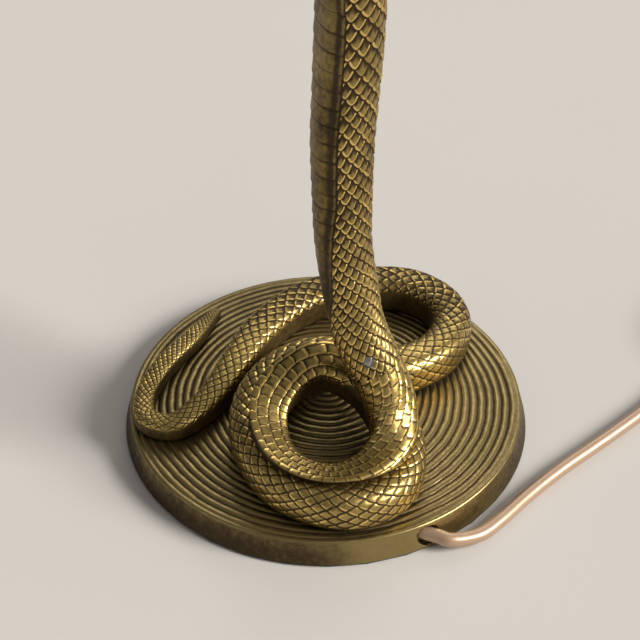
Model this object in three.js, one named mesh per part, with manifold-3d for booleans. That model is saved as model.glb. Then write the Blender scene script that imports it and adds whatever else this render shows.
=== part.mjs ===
// Bronze cobra table lamp: a ridged cast base, a cast snake that lies on it in loops and rises from
// two turns to a hood, and a screw lampholder on a threaded tube behind the head.
// Millimetres, +Z up, origin on the table under the middle of the base. The snake faces -X.
import * as THREE from 'three';
import { mergeVertices } from 'three/addons/utils/BufferGeometryUtils.js';
import Module from 'manifold-3d';

const wasm = await Module();
wasm.setup();

// Clearances
const SEAT = 0.3; // between a casting, cover or ring and what carries it
const FIT = 0.3; // round a shaft, tube or screw in its hole

// Base
const RIM_R = 82.5; // outer edge of the top face
const FLARE = 2.9; // how much wider the side wall stands at the table
const FOOT_R = RIM_R + FLARE;
const RIM_H = 12; // table to the top of the rim
const DOME = 0.09; // rise of the top face per millimetre towards the middle
const TOP_WALL = 3;
const SIDE_WALL = 2.4;
const RIDGE_PITCH = 3.35;
const RIDGE_DEPTH = 0.8;
const RIM_BAND = 1.8; // plain band outside the first groove
const RIDGES = 23;
const FELT_T = 1;
const PLATE_T = 1;
const TURN = 32; // flats round the base

// Screws
const M4 = 4;
const M3 = 3;
const M25 = 2.5;
const SCREW_GRIP = 6; // length of a screw above the face that its head pulls against
const PILLAR_R = 3.5;
const PILLAR_AT = 66;
const PILLAR_TURNS = [20, 140, 258]; // degrees round the base

// Threaded tubes, ten millimetres over the thread
const TUBE_R = 5;
const TUBE_BORE = 3.5;
const LEAD_BORE = 4.5; // radius of the cored way through the castings
const CLAMP_AT = new THREE.Vector2(26, -37); // where the clamping tube stands
const CLAMP_TOP = 43;
const WASHER_R = 10;
const WASHER_T = 1.2;
const CLAMP_NUT_H = 3;

// Snake
const SIDES = 12;
const TAIL_POWER = 3.4; // squareness of the section: 2 is an ellipse
const LOWER_POWER = 2.7;
const UPPER_POWER = 4;
const RISE_POWER = 2.3;
const HOOD_POWER = 2.2;
const SINK = 0.85; // height of the body's middle over the ridges, as a share of its half height
const SPLIT_Z = 57; // braze between the coil and the rise
const HOOD_Z = 244; // braze between the rise and the hood
const TURN_BACK = 18; // degrees that the back is turned from +X towards +Y
const BOSS_TOP = 384;
const BOSS_R = 9;

// Lampholder, screw size 27 mm, and bulb
const NUT_H = 4;
const NUT_R = 8;
const CAP_H = 21;
const CAP_R = 20.5;
const HOLDER_WALL = 1.6;
const BODY_R = 19.6;
const BODY_H = 34;
const BAR_R = 2;
const BAR_OUT = 7; // length of the push bar outside the cap, out to in
const BAR_TRAVEL = 5;
const RING_H = 9;
const RING_OUT = 28;
const BULB_THREAD_R = 13.2;
const BULB_R = 30;
const BULB_H = 105;

// Cord
const CORD_R = 3;
const CORE_R = 1.2;
const CORE_SHIFT = 1.45; // each core's distance from the middle of the pair
const HOLE_R = 4.6;
const HOLE_TURN = -59.4; // degrees round the base
const HOLE_LEAN = -34; // heading of the drilled hole, degrees from +X
const EXIT_TURN = -21; // heading of the cord in the hole, degrees from +X
const HOLE_Z = 6;
const CLIP_BACK = 19; // along the cord from the wall to the clip
const CLIP_Z = 6.8;
const CLIP_W = 8;
const CLIP_T = 0.8;
const CLIP_SIDE = 9.5; // from the middle of the cord to the clip's screw
const CLIP_FACE = 8; // underside of the clip's boss
const CLIP_GRIP = 3;
const STRIP_BACK = 10; // sheath beyond the clip
const COIL_MID = new THREE.Vector2(206, 47);
const COIL_R = 46;
const COIL_PITCH = 6.5;
const COIL_TURNS = 3.5; // in each of the two layers
const COIL_STEPS = 24;

const UP = new THREE.Vector3(0, 0, 1);
const rad = THREE.MathUtils.degToRad;
const v3 = (x, y, z) => new THREE.Vector3(x, y, z);

// Solids: a closed mesh in, a solid out, and back
function solid(geometry) {
  const bare = geometry.clone();
  bare.deleteAttribute('normal');
  bare.deleteAttribute('uv');
  const merged = mergeVertices(bare, 1e-4);
  const index = merged.index.array;
  const kept = [];
  for (let i = 0; i < index.length; i += 3) {
    const [a, b, c] = [index[i], index[i + 1], index[i + 2]];
    if (a !== b && b !== c && c !== a) kept.push(a, b, c);
  }
  return new wasm.Manifold(new wasm.Mesh({
    numProp: 3,
    vertProperties: new Float32Array(merged.attributes.position.array),
    triVerts: new Uint32Array(kept),
  }));
}

function geometryOf(manifold) {
  const mesh = manifold.getMesh();
  const geometry = new THREE.BufferGeometry();
  geometry.setAttribute('position', new THREE.BufferAttribute(new Float32Array(mesh.vertProperties), 3));
  geometry.setIndex(new THREE.BufferAttribute(new Uint32Array(mesh.triVerts), 1));
  geometry.computeVertexNormals();
  return geometry;
}

// A turned piece from [radius, height] points that start and end on the axis or close on themselves
function turned(points, flats = 24) {
  let area = 0;
  points.forEach(([r, z], i) => {
    const [r2, z2] = points[(i + 1) % points.length];
    area += r * z2 - r2 * z;
  });
  const ordered = area > 0 ? points : [...points].reverse();
  const open = ordered[0][0] < 1e-6 && ordered.at(-1)[0] < 1e-6;
  const ring = open ? ordered : [...ordered, ordered[0]];
  const geometry = new THREE.LatheGeometry(ring.map(([r, z]) => new THREE.Vector2(r, z)), flats);
  return solid(geometry.rotateX(Math.PI / 2));
}

// A plain round bar and a plain tube standing at (x, y)
function bar(radius, z0, z1, x = 0, y = 0, flats = 16) {
  return turned([[0, z0], [radius, z0], [radius, z1], [0, z1]], flats).translate([x, y, 0]);
}

function tube(outer, inner, z0, z1, x = 0, y = 0, flats = 24) {
  return turned([[inner, z0], [outer, z0], [outer, z1], [inner, z1]], flats).translate([x, y, 0]);
}

function hexagon(acrossCorners, bore, z0, z1, x = 0, y = 0) {
  return bar(acrossCorners, z0, z1, x, y, 6).subtract(bar(bore, z0 - 1, z1 + 1, x, y, 16));
}

// A round section carried along a curve
function along(curve, radius, sides, steps) {
  const shape = new THREE.Shape();
  for (let i = 0; i < sides; i += 1) {
    const turn = (i / sides) * 2 * Math.PI;
    const [x, y] = [radius * Math.cos(turn), radius * Math.sin(turn)];
    if (i === 0) shape.moveTo(x, y);
    else shape.lineTo(x, y);
  }
  shape.closePath();
  return solid(new THREE.ExtrudeGeometry(shape, { steps, extrudePath: curve, bevelEnabled: false }));
}

function smooth(points) {
  return new THREE.CatmullRomCurve3(points, false, 'centripetal');
}

// A body lofted through closed rings of equal count, with flat ends
function loft(rings) {
  const count = rings[0].length;
  const positions = rings.flat().flatMap((p) => p.toArray());
  const index = [];
  for (let i = 0; i + 1 < rings.length; i += 1) {
    for (let j = 0; j < count; j += 1) {
      const [a, b] = [i * count + j, i * count + ((j + 1) % count)];
      index.push(a, b, b + count, a, b + count, a + count);
    }
  }
  const last = (rings.length - 1) * count;
  for (let j = 1; j + 1 < count; j += 1) {
    index.push(0, j + 1, j, last, last + j, last + j + 1);
  }
  const geometry = new THREE.BufferGeometry();
  geometry.setAttribute('position', new THREE.Float32BufferAttribute(positions, 3));
  geometry.setIndex(index);
  return solid(geometry);
}

// Rounded-box section of the snake: 2 is an ellipse, more is squarer
function section(mid, side, up, wide, tall, power, sides = SIDES) {
  const ring = [];
  for (let j = 0; j < sides; j += 1) {
    const turn = ((j + 0.5) / sides) * 2 * Math.PI;
    const [c, s] = [Math.cos(turn), Math.sin(turn)];
    const across = Math.sign(c) * Math.abs(c) ** (2 / power) * wide;
    const above = Math.sign(s) * Math.abs(s) ** (2 / power) * tall;
    ring.push(mid.clone().addScaledVector(side, across).addScaledVector(up, above));
  }
  return ring;
}

// The snake's body through stations { at, wide, tall, back }: back points to the middle of its back
function body(stations, steps, power) {
  const middle = smooth(stations.map((s) => s.at));
  const girth = smooth(stations.map((s) => v3(s.wide, s.tall, 0)));
  const backs = smooth(stations.map((s) => s.back));
  const rings = [];
  for (let i = 0; i <= steps; i += 1) {
    const t = i / steps;
    const ahead = middle.getTangent(t);
    const back = backs.getPoint(t);
    const side = new THREE.Vector3().crossVectors(back, ahead).normalize();
    const up = new THREE.Vector3().crossVectors(ahead, side).normalize();
    const size = girth.getPoint(t);
    rings.push(section(middle.getPoint(t), side, up, size.x, size.y, power));
  }
  return loft(rings);
}

// Base: the height of the ridge crests over the table at radius r
const crest = (r) => RIM_H + DOME * (RIM_R - r);
const underside = (r) => crest(r) - TOP_WALL;
const wallAt = (z) => FOOT_R + ((RIM_R - FOOT_R) * z) / RIM_H;
const CAVITY_R = wallAt(RIM_H / 2) - SIDE_WALL;
const RIM_Z = FELT_T + SEAT; // underside of the rim
const PLATE_TOP = RIM_Z + PLATE_T;
const faceAt = (x, y) => underside(Math.hypot(x, y)) + 0.4; // flat spot face under a screw head
const CLAMP_FACE = faceAt(CLAMP_AT.x, CLAMP_AT.y) + 0.2;
const CLAMP_NUT_TOP = CLAMP_FACE - 2 * SEAT - WASHER_T;
const CLAMP_LOW = CLAMP_NUT_TOP - CLAMP_NUT_H + 1;

// Cord's way through the side wall, and the clip that holds it inside
const heading = v3(Math.cos(rad(EXIT_TURN)), Math.sin(rad(EXIT_TURN)), 0);
const acrossCord = v3(-heading.y, heading.x, 0);
const HOLE_AT = v3(
  wallAt(HOLE_Z) * Math.cos(rad(HOLE_TURN)), wallAt(HOLE_Z) * Math.sin(rad(HOLE_TURN)), HOLE_Z,
);
const EXIT = HOLE_AT.clone().addScaledVector(heading, 3);
const CLIP_MID = HOLE_AT.clone().addScaledVector(heading, -CLIP_BACK).setZ(CLIP_Z);
const CLIP_SCREW = CLIP_MID.clone().addScaledVector(acrossCord, CLIP_SIDE);
const CLIP_R = Math.hypot(CLIP_SCREW.x, CLIP_SCREW.y);
const CLIP_TAB = CLIP_FACE - SEAT; // top of the clip's tab
const ENTRY_END = CLIP_MID.clone().addScaledVector(heading, -STRIP_BACK);

function baseProfile() {
  const points = [[0, underside(0)], [CAVITY_R, underside(CAVITY_R)], [CAVITY_R, RIM_Z], [wallAt(RIM_Z), RIM_Z]];
  points.push([RIM_R + 0.25, RIM_H - 0.8], [RIM_R - 0.6, RIM_H]);
  for (let i = 0; i < RIDGES; i += 1) {
    const valley = RIM_R - RIM_BAND - i * RIDGE_PITCH;
    points.push([valley, crest(valley) - RIDGE_DEPTH]);
    points.push([valley - RIDGE_PITCH / 2, crest(valley - RIDGE_PITCH / 2)]);
  }
  points.push([0, crest(0)]);
  return points;
}

// A screw from below: its head against `face`, its shank up into the casting above
function fixing(x, y, size, face, grip) {
  const head = size * 0.9;
  const low = face - SEAT - size * 0.6;
  return turned(
    [[0, low], [head, low], [head, face - SEAT], [size / 2, face - SEAT], [size / 2, face + grip], [0, face + grip]],
    12,
  ).translate([x, y, 0]);
}

const TAIL_FIXINGS = [[-64, -21.5, M3], [-14, 48, M4], [53.5, 37, M4]];
const COIL_FIXINGS = [[-28, -38, M4], [8, -69, M4]];
const onBase = (x, y, wide, tall) => ({
  at: v3(x, y, crest(Math.hypot(x, y)) + SINK * tall), wide, tall, back: UP,
});

// Tail to right loop, lying on the base; the tail tip is first
const TAIL = [
  onBase(-47.5, 55.5, 1.8, 1.8),
  onBase(-57, 34.5, 4.1, 4),
  onBase(-69, 16, 4.6, 4.4),
  onBase(-76, -3, 4.5, 4.3),
  onBase(-74.5, -16.5, 4.8, 4.5),
  onBase(-64, -21.5, 5.1, 4.8),
  onBase(-51, -12, 5.9, 5.6),
  onBase(-39, 9, 7, 6.8),
  onBase(-29, 29.5, 7.8, 7.6),
  onBase(-11, 51, 8.2, 8),
  onBase(13, 62, 8.5, 8.4),
  onBase(36, 62.5, 8.6, 8.6),
  onBase(50, 51.5, 8.7, 8.6),
  onBase(54, 36, 8.8, 8.7),
  onBase(47, 18, 9, 8.9),
  onBase(30.5, 5.5, 9.3, 9.2),
];

// Lower turn, and its climb over itself; the tail is brazed to its first station
const LOWER = [
  onBase(17, 3.5, 9.5, 9.4),
  onBase(5, 8.5, 9.7, 9.6),
  onBase(-8, 7.5, 9.8, 9.7),
  onBase(-19.5, -0.5, 9.9, 9.8),
  onBase(-27.5, -13.5, 10, 10),
  onBase(-30, -28.5, 10, 10),
  onBase(-27, -43, 10, 10),
  onBase(-18.5, -58, 10, 10),
  onBase(-5, -67, 10, 10),
  onBase(9, -70, 10, 10),
  onBase(21, -66, 10, 10),
  onBase(29, -56, 10, 10),
  { at: v3(30.5, -44, 25), wide: 10, tall: 9.8, back: UP },
  { at: v3(27, -31, 29.5), wide: 9.8, tall: 9.2, back: UP },
  { at: v3(19, -20.5, 36), wide: 9.5, tall: 8.4, back: UP },
  { at: v3(8, -14, 41.3), wide: 9.2, tall: 8.8, back: v3(-0.1, -0.2, 1) },
];

// Upper turn, tilted inwards, and the rise out of it
const back = v3(Math.cos(rad(TURN_BACK)), Math.sin(rad(TURN_BACK)), 0);
const UPPER = [
  { at: v3(8, -14, 41.3), wide: 9.2, tall: 8.8, back: v3(-0.1, -0.2, 1) },
  { at: v3(-3, -12.5, 43.8), wide: 9, tall: 9.2, back: v3(0, -0.35, 1) },
  { at: v3(-16, -18.5, 40.5), wide: 8.8, tall: 8.3, back: v3(0.2, -0.25, 1) },
  { at: v3(-24.3, -31.5, 37), wide: 8.7, tall: 6.6, back: v3(0.3, -0.05, 1) },
  { at: v3(-24.5, -45, 33.5), wide: 8.6, tall: 6.4, back: v3(0.3, 0.1, 1) },
  { at: v3(-18, -58.5, 31), wide: 8.1, tall: 6.2, back: v3(0.2, 0.2, 1) },
  { at: v3(-5.5, -66.5, 30), wide: 7.7, tall: 6.2, back: v3(0, 0.25, 1) },
  { at: v3(8, -67, 30), wide: 7.8, tall: 6.4, back: v3(0, 0.2, 1) },
  { at: v3(20, -60, 31.5), wide: 8.6, tall: 7, back: v3(0, 0.1, 1) },
  { at: v3(26.5, -48, 34.5), wide: 9.3, tall: 8, back: v3(0.2, 0, 1) },
  { at: v3(26.5, -37, 41), wide: 10, tall: 9.4, back: v3(0.5, -0.3, 0.9) },
  { at: v3(22.5, -30, 52), wide: 10.8, tall: 10.6, back: v3(0.9, -0.3, 0.5) },
  { at: v3(13, -23, 73), wide: 11.2, tall: 11, back: v3(1, 0, 0.3) },
];
const RISE = [
  { at: v3(9, -19, 94), wide: 11, tall: 11, back },
  { at: v3(6.5, -16, 114), wide: 11, tall: 11.1, back },
  { at: v3(6, -13, 135), wide: 11.8, tall: 11.5, back },
  { at: v3(6, -10.5, 158), wide: 12.8, tall: 12, back },
  { at: v3(7, -8, 178), wide: 14, tall: 12.2, back },
  { at: v3(8, -6.5, 198), wide: 15.6, tall: 12.4, back },
  { at: v3(8.7, -5, 218), wide: 17.5, tall: 12.2, back },
];
const HOOD = [
  { at: v3(8.5, -4, 238), wide: 21, tall: 11.6, back },
  { at: v3(7.5, -3, 262), wide: 28, tall: 10.6, back },
  { at: v3(5.5, -2, 288), wide: 35.5, tall: 9.6, back },
  { at: v3(3, -1, 314), wide: 40, tall: 9, back },
  { at: v3(1, -0.5, 336), wide: 37, tall: 9, back },
  { at: v3(0, 0, 353), wide: 25, tall: 9.6, back },
  { at: v3(0, 0, 367), wide: 14, tall: 10, back },
];

// Cored way through the castings: up from the clamping tube, through the rise and the hood
const WAY = [
  v3(CLAMP_AT.x, CLAMP_AT.y, CLAMP_TOP - 13),
  v3(CLAMP_AT.x, CLAMP_AT.y, CLAMP_TOP),
  v3(22.5, -30.5, 53),
  ...[...UPPER.slice(-1), ...RISE, ...HOOD].map((s) => s.at),
  v3(0, 0, BOSS_TOP),
];

const below = (z) => bar(400, -50, z, 0, 0, 8);
const between = (z0, z1) => bar(400, z0, z1, 0, 0, 8);

// The face that the castings lie on: the cone of the ridge crests, raised by the seat
const bed = turned(
  [[0, -5], [FOOT_R + 10, -5], [FOOT_R + 10, crest(FOOT_R + 10) + SEAT], [0, crest(0) + SEAT]],
  TURN,
);
const leadCut = along(smooth(WAY), LEAD_BORE, 8, 34);

function baseCasting() {
  let part = turned(baseProfile(), TURN);
  for (const turn of PILLAR_TURNS) {
    const [x, y] = [PILLAR_AT * Math.cos(rad(turn)), PILLAR_AT * Math.sin(rad(turn))];
    part = part.add(bar(PILLAR_R, PLATE_TOP + SEAT, underside(PILLAR_AT) + 1, x, y, 12));
    part = part.subtract(bar(M25 / 2 + FIT, 0, PLATE_TOP + SCREW_GRIP + 1, x, y, 10));
  }
  part = part.add(bar(PILLAR_R, CLIP_FACE, underside(CLIP_R) + 1, CLIP_SCREW.x, CLIP_SCREW.y, 12));
  part = part.subtract(bar(M3 / 2 + FIT, 0, CLIP_FACE + CLIP_GRIP + 0.5, CLIP_SCREW.x, CLIP_SCREW.y, 10));
  for (const [x, y, size] of [...TAIL_FIXINGS, ...COIL_FIXINGS]) {
    part = part.subtract(bar(size + 1, 0, faceAt(x, y), x, y, 12));
    part = part.subtract(bar(size / 2 + FIT, 0, 40, x, y, 10));
  }
  part = part.subtract(bar(WASHER_R + 1, 0, CLAMP_FACE, CLAMP_AT.x, CLAMP_AT.y, 20));
  part = part.subtract(bar(TUBE_R + FIT, 0, 40, CLAMP_AT.x, CLAMP_AT.y, 16));
  const hole = bar(HOLE_R, -14, 8).rotate([0, 90, 0]).rotate([0, 0, HOLE_LEAN]);
  return part.subtract(hole.translate(HOLE_AT.toArray()));
}

function cordClip() {
  const inner = CORD_R + FIT;
  const outer = inner + CLIP_T;
  const shape = new THREE.Shape();
  const top = CLIP_TAB - CLIP_Z;
  shape.moveTo(-outer, top);
  shape.lineTo(-outer, 0);
  shape.absarc(0, 0, outer, Math.PI, 2 * Math.PI, false);
  shape.lineTo(outer, top - CLIP_T);
  shape.lineTo(CLIP_SIDE + 4, top - CLIP_T);
  shape.lineTo(CLIP_SIDE + 4, top);
  shape.lineTo(inner, top);
  shape.lineTo(inner, 0);
  shape.absarc(0, 0, inner, 0, -Math.PI, true);
  shape.lineTo(-inner, top);
  shape.closePath();
  const strip = new THREE.ExtrudeGeometry(shape, { depth: CLIP_W, bevelEnabled: false, curveSegments: 8 });
  strip.translate(0, 0, -CLIP_W / 2);
  const turn = new THREE.Matrix4().makeBasis(acrossCord, UP, heading);
  strip.applyMatrix4(turn.setPosition(CLIP_MID));
  return solid(strip).subtract(bar(M3 / 2 + FIT, 0, CLIP_FACE, CLIP_SCREW.x, CLIP_SCREW.y, 10));
}

// Free cord: on the table from the base to its coil
const FREE = [
  EXIT,
  EXIT.clone().addScaledVector(heading, 4).setZ(5.6),
  v3(56, -72.8, 4.2),
  v3(63, -69, 3.3),
  v3(71, -61, 3.1),
  v3(79.5, -51, 3.1),
  v3(89, -40.5, 3.1),
  v3(99, -30.5, 3.1),
  v3(110, -20.5, 3.1),
  v3(121.5, -10, 3.1),
  v3(132.5, 0.5, 3.1),
  v3(143, 11, 3.1),
  v3(152, 21, 3.1),
  v3(158, 31, 3.1),
  v3(COIL_MID.x - COIL_R, COIL_MID.y - 2 * CORD_R - SEAT - 4, CORD_R),
  v3(COIL_MID.x - COIL_R, COIL_MID.y - 2 * CORD_R - SEAT, CORD_R),
];

// Coil: two layers, wound in and out again clockwise, the climb in the half turn between them
function coilPoints() {
  const total = 2 * COIL_TURNS + 0.5;
  const count = Math.round(total * COIL_STEPS);
  const points = [v3(COIL_MID.x - COIL_R, COIL_MID.y - 2 * CORD_R, CORD_R)];
  for (let i = 0; i <= count; i += 1) {
    const wound = (i / count) * total;
    const inner = COIL_TURNS + 0.25;
    const radius = COIL_R - COIL_PITCH * (wound < inner ? wound : total - wound);
    const climb = THREE.MathUtils.smoothstep(wound, COIL_TURNS, COIL_TURNS + 0.5);
    const turn = Math.PI - 2 * Math.PI * wound;
    points.push(v3(
      COIL_MID.x + radius * Math.cos(turn),
      COIL_MID.y + radius * Math.sin(turn),
      CORD_R + climb * COIL_PITCH,
    ));
  }
  points.push(v3(COIL_MID.x + COIL_R, COIL_MID.y - 2 * CORD_R, CORD_R + COIL_PITCH));
  return points;
}

// Least distance between parts of the coil that are more than half a turn apart along it
function leastGap(points) {
  let least = Infinity;
  for (let i = 0; i < points.length; i += 1) {
    for (let j = i + COIL_STEPS / 2; j < points.length; j += 1) {
      least = Math.min(least, points[i].distanceTo(points[j]));
    }
  }
  return least - 2 * CORD_R;
}

const COIL = coilPoints();
console.log(`cord coil, least gap to itself ${leastGap(COIL).toFixed(2)} mm`);

// Tail of the cord, from the top of the coil down to the plug beside it
const TAIL_TOP = COIL.at(-1);
const PLUG_Z = 7;
const TAIL_RUN = 46;
const CORD_TAIL = [
  TAIL_TOP.clone().add(v3(0, -SEAT, 0)),
  TAIL_TOP.clone().add(v3(0, -9, -0.9)),
  TAIL_TOP.clone().add(v3(0.5, -20, -3.9)),
  TAIL_TOP.clone().add(v3(0.5, -31, -4.2)),
  TAIL_TOP.clone().add(v3(0, -40, -2.8)).setZ(PLUG_Z - 0.2),
  TAIL_TOP.clone().add(v3(0, -TAIL_RUN, 0)).setZ(PLUG_Z),
];

// The two cores, twisted round each other from the end of the sheath to the lampholder
const NUT_Z = BOSS_TOP + SEAT;
const CAP_Z = NUT_Z + NUT_H + SEAT;
const CORE_TOP = CAP_Z + 9;
const CORE_WAY = smooth([
  ENTRY_END.clone().addScaledVector(heading, -2 * SEAT),
  ENTRY_END.clone().addScaledVector(heading, -5).setZ(6.4),
  v3(7, -52.5, 5.2),
  v3(11, -44.5, 5),
  v3(18.5, -39.8, 5),
  v3(23.5, -37.9, 5),
  v3(25.6, -37.1, 5.5),
  v3(CLAMP_AT.x, CLAMP_AT.y, 7.6),
  v3(CLAMP_AT.x, CLAMP_AT.y, 12),
  v3(CLAMP_AT.x, CLAMP_AT.y, 20),
  ...WAY,
  v3(0, 0, CORE_TOP),
]);

function core(phase) {
  const samples = 160;
  const twists = 6;
  const frames = CORE_WAY.computeFrenetFrames(samples, false);
  const points = [];
  for (let i = 0; i <= samples; i += 1) {
    const turn = phase + (i / samples) * twists * 2 * Math.PI;
    const point = CORE_WAY.getPointAt(i / samples);
    point.addScaledVector(frames.normals[i], CORE_SHIFT * Math.cos(turn));
    points.push(point.addScaledVector(frames.binormals[i], CORE_SHIFT * Math.sin(turn)));
  }
  return along(smooth(points), CORE_R, 5, 62);
}

// Castings; a block on either side of the braze cuts the tail and the coil to the same plane
const BRAZE = LOWER[0].at;
const brazeAhead = LOWER[1].at.clone().sub(TAIL.at(-1).at).setZ(0).normalize();

function brazeBlock(side) {
  const [long, wide, tall] = [24, 26, 30];
  const middle = BRAZE.clone().addScaledVector(brazeAhead, (side * (long - SEAT)) / 2);
  const turn = new THREE.Matrix4().makeBasis(brazeAhead, UP.clone().cross(brazeAhead), UP);
  return solid(new THREE.BoxGeometry(long, wide, tall).applyMatrix4(turn.setPosition(middle)));
}

function tailCasting() {
  let part = body([...TAIL, ...LOWER.slice(0, 2)], 42, TAIL_POWER).subtract(brazeBlock(1)).subtract(bed);
  for (const [x, y, size] of TAIL_FIXINGS) {
    part = part.subtract(bar(size / 2 + FIT, 0, faceAt(x, y) + SCREW_GRIP + 1, x, y, 10));
  }
  return part;
}

function coilCasting() {
  const lower = body([TAIL.at(-1), ...LOWER], 34, LOWER_POWER).subtract(brazeBlock(-1));
  let part = lower.add(body(UPPER, 32, UPPER_POWER).intersect(below(SPLIT_Z))).subtract(bed);
  for (const [x, y, size] of COIL_FIXINGS) {
    part = part.subtract(bar(size / 2 + FIT, 0, faceAt(x, y) + SCREW_GRIP + 1, x, y, 10));
  }
  part = part.subtract(bar(TUBE_R + FIT, 0, CLAMP_TOP + FIT, CLAMP_AT.x, CLAMP_AT.y));
  return part.subtract(leadCut);
}

const SPIGOT_R = 8;
const SPIGOT_H = 10;
const SPIGOT_AT = HOOD[0].at;

function riseCasting() {
  const whole = body([...UPPER.slice(-4), ...RISE, HOOD[0], HOOD[1]], 26, RISE_POWER);
  const socket = bar(SPIGOT_R + FIT, HOOD_Z - SPIGOT_H - FIT, HOOD_Z, SPIGOT_AT.x, SPIGOT_AT.y);
  return whole.intersect(between(SPLIT_Z + SEAT, HOOD_Z)).subtract(leadCut).subtract(socket);
}

// Head: from the neck behind the lampholder tube to the snout
const HEAD = [
  [-9, 5, 7, 365], [-4, 11, 10, 366.5], [6, 14.6, 11.2, 369], [16, 15.6, 11, 371],
  [26, 13.4, 9.6, 370.5], [35, 10.4, 7.6, 368.5], [41.5, 7.4, 5.4, 367], [44.5, 3.8, 2.8, 366.5],
];

function headBody() {
  const ahead = back.clone().negate();
  return body(HEAD.map(([forward, wide, tall, z]) => ({
    at: ahead.clone().multiplyScalar(forward).setZ(z), wide, tall, back: UP,
  })), 14, HOOD_POWER);
}

function hoodCasting() {
  const whole = body([...RISE.slice(-2), ...HOOD], 27, HOOD_POWER).intersect(between(HOOD_Z + SEAT, BOSS_TOP));
  const spigot = bar(SPIGOT_R, HOOD_Z - SPIGOT_H, HOOD_Z + 4, SPIGOT_AT.x, SPIGOT_AT.y);
  const boss = bar(BOSS_R, HOOD.at(-1).at.z - 6, BOSS_TOP, 0, 0, 24);
  const socket = bar(TUBE_R + FIT, BOSS_TOP - TUBE_DEPTH - FIT, BOSS_TOP + 1);
  return whole.add(spigot).add(boss).add(headBody()).subtract(leadCut).subtract(socket);
}

// Lampholder on its threaded tube
const TUBE_DEPTH = 14; // of the lampholder's tube in the boss
const TUBE_RISE = 7; // of the same tube in the cap
const CAP_TOP = CAP_Z + CAP_H;
const BODY_Z = CAP_TOP + SEAT;
const BAR_Z = CAP_Z + 13;
const BLOCK_Z = BAR_Z + BAR_R + 1;
const BLOCK_TOP = BODY_Z + 4;
const BORE_R = BULB_THREAD_R + 2;
const FOOT_Z = BLOCK_TOP + 5.5;
const BULB_Z = FOOT_Z + 2.3;
const RING_GAP = 3; // room for the ring of a shade
const RING_Z = BODY_Z + 8;

function holderCap() {
  const [shoulder, taper] = [14, 7];
  const wall = turned([
    [TUBE_R + FIT, CAP_Z], [shoulder, CAP_Z], [CAP_R, CAP_Z + taper], [CAP_R, CAP_TOP],
    [CAP_R - HOLDER_WALL, CAP_TOP], [CAP_R - HOLDER_WALL, CAP_Z + taper + 0.6],
    [shoulder - 0.6, CAP_Z + HOLDER_WALL], [TUBE_R + FIT, CAP_Z + HOLDER_WALL],
  ], 28);
  return wall.subtract(bar(BAR_R + FIT, -CAP_R - 9, CAP_R + 9).rotate([90, 0, 0]).translate([0, 0, BAR_Z]));
}

function switchBar() {
  const reach = CAP_R + BAR_OUT - BAR_TRAVEL;
  return bar(BAR_R, -reach, reach + BAR_TRAVEL, 0, 0, 12).rotate([90, 0, 0]).translate([0, 0, BAR_Z]);
}

function bulbGlass() {
  const wall = 0.9;
  const neck = BULB_THREAD_R - 1.4;
  const low = BULB_Z + 20;
  const top = BULB_Z + BULB_H;
  const mid = top - BULB_R;
  const outside = [[neck, low], [neck, low + 8]];
  const start = rad(-40);
  for (let i = 0; i <= 9; i += 1) {
    const turn = start + (i / 9) * (Math.PI / 2 - start);
    outside.push([BULB_R * Math.cos(turn), mid + BULB_R * Math.sin(turn)]);
  }
  const inside = [[0, top - wall]];
  for (let i = 8; i >= 0; i -= 1) {
    const turn = start + (i / 9) * (Math.PI / 2 - start);
    inside.push([(BULB_R - wall) * Math.cos(turn), mid + (BULB_R - wall) * Math.sin(turn)]);
  }
  inside.push([neck - wall, low + 8], [neck - wall, low]);
  outside[outside.length - 1][0] = 0;
  return turned([...outside, ...inside], 20);
}

function bulbCap() {
  const r = BULB_THREAD_R;
  return turned([
    [0, BULB_Z], [5.5, BULB_Z], [r, BULB_Z + 5], [r, BULB_Z + 26], [r - 0.8, BULB_Z + 26],
    [r - 0.8, BULB_Z + 6], [5, BULB_Z + 1.2], [0, BULB_Z + 1.2],
  ], 24);
}

// Plug: two round pins in a flat body with a tapered strain relief
const PLUG_AT = CORD_TAIL.at(-1).clone().add(v3(0, -SEAT, 0));
const RELIEF_L = 20;
const PLUG_L = 32;
const PLUG_W = 35;
const PIN_L = 19;
const PIN_R = 2;
const PIN_GAP = 19;

function plugBody() {
  const ring = (y, wide, tall) => section(
    v3(PLUG_AT.x, PLUG_AT.y - y, PLUG_Z), v3(1, 0, 0), UP, wide, tall, 4, 16,
  );
  const rings = [
    ring(0, 4.2, 4.2), ring(RELIEF_L, 5.6, 5.4), ring(RELIEF_L + 3, 10, 6.6), ring(RELIEF_L + 10, PLUG_W / 2, PLUG_Z),
    ring(RELIEF_L + PLUG_L, PLUG_W / 2, PLUG_Z),
  ];
  let part = loft(rings);
  for (const side of [-1, 1]) {
    part = part.subtract(pin(side, FIT));
  }
  return part;
}

function pin(side, grow = 0) {
  const root = PLUG_AT.y - RELIEF_L - PLUG_L + 9 + grow;
  const tip = PLUG_AT.y - RELIEF_L - PLUG_L - PIN_L;
  return bar(PIN_R + grow, -root, -tip, 0, 0, 12).rotate([90, 0, 0])
    .translate([PLUG_AT.x + (side * PIN_GAP) / 2, 0, PLUG_Z]);
}

// Materials, as the photograph shows them
const finish = (color, roughness, metalness) => new THREE.MeshStandardMaterial({ color, roughness, metalness });
const bronze = () => finish(0x7d6a3c, 0.42, 0.9);
const darkBronze = () => finish(0x4a3c22, 0.5, 0.85);
const steel = () => finish(0x9a9b98, 0.35, 1);
const brass = () => finish(0xa98a45, 0.35, 1);
const sheath = () => finish(0xb2916f, 0.3, 0);
const black = () => finish(0x1d1c1b, 0.4, 0);

const parts = new THREE.Group();

function add(name, manifold, material) {
  const mesh = new THREE.Mesh(geometryOf(manifold), material);
  mesh.name = name;
  parts.add(mesh);
}

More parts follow.
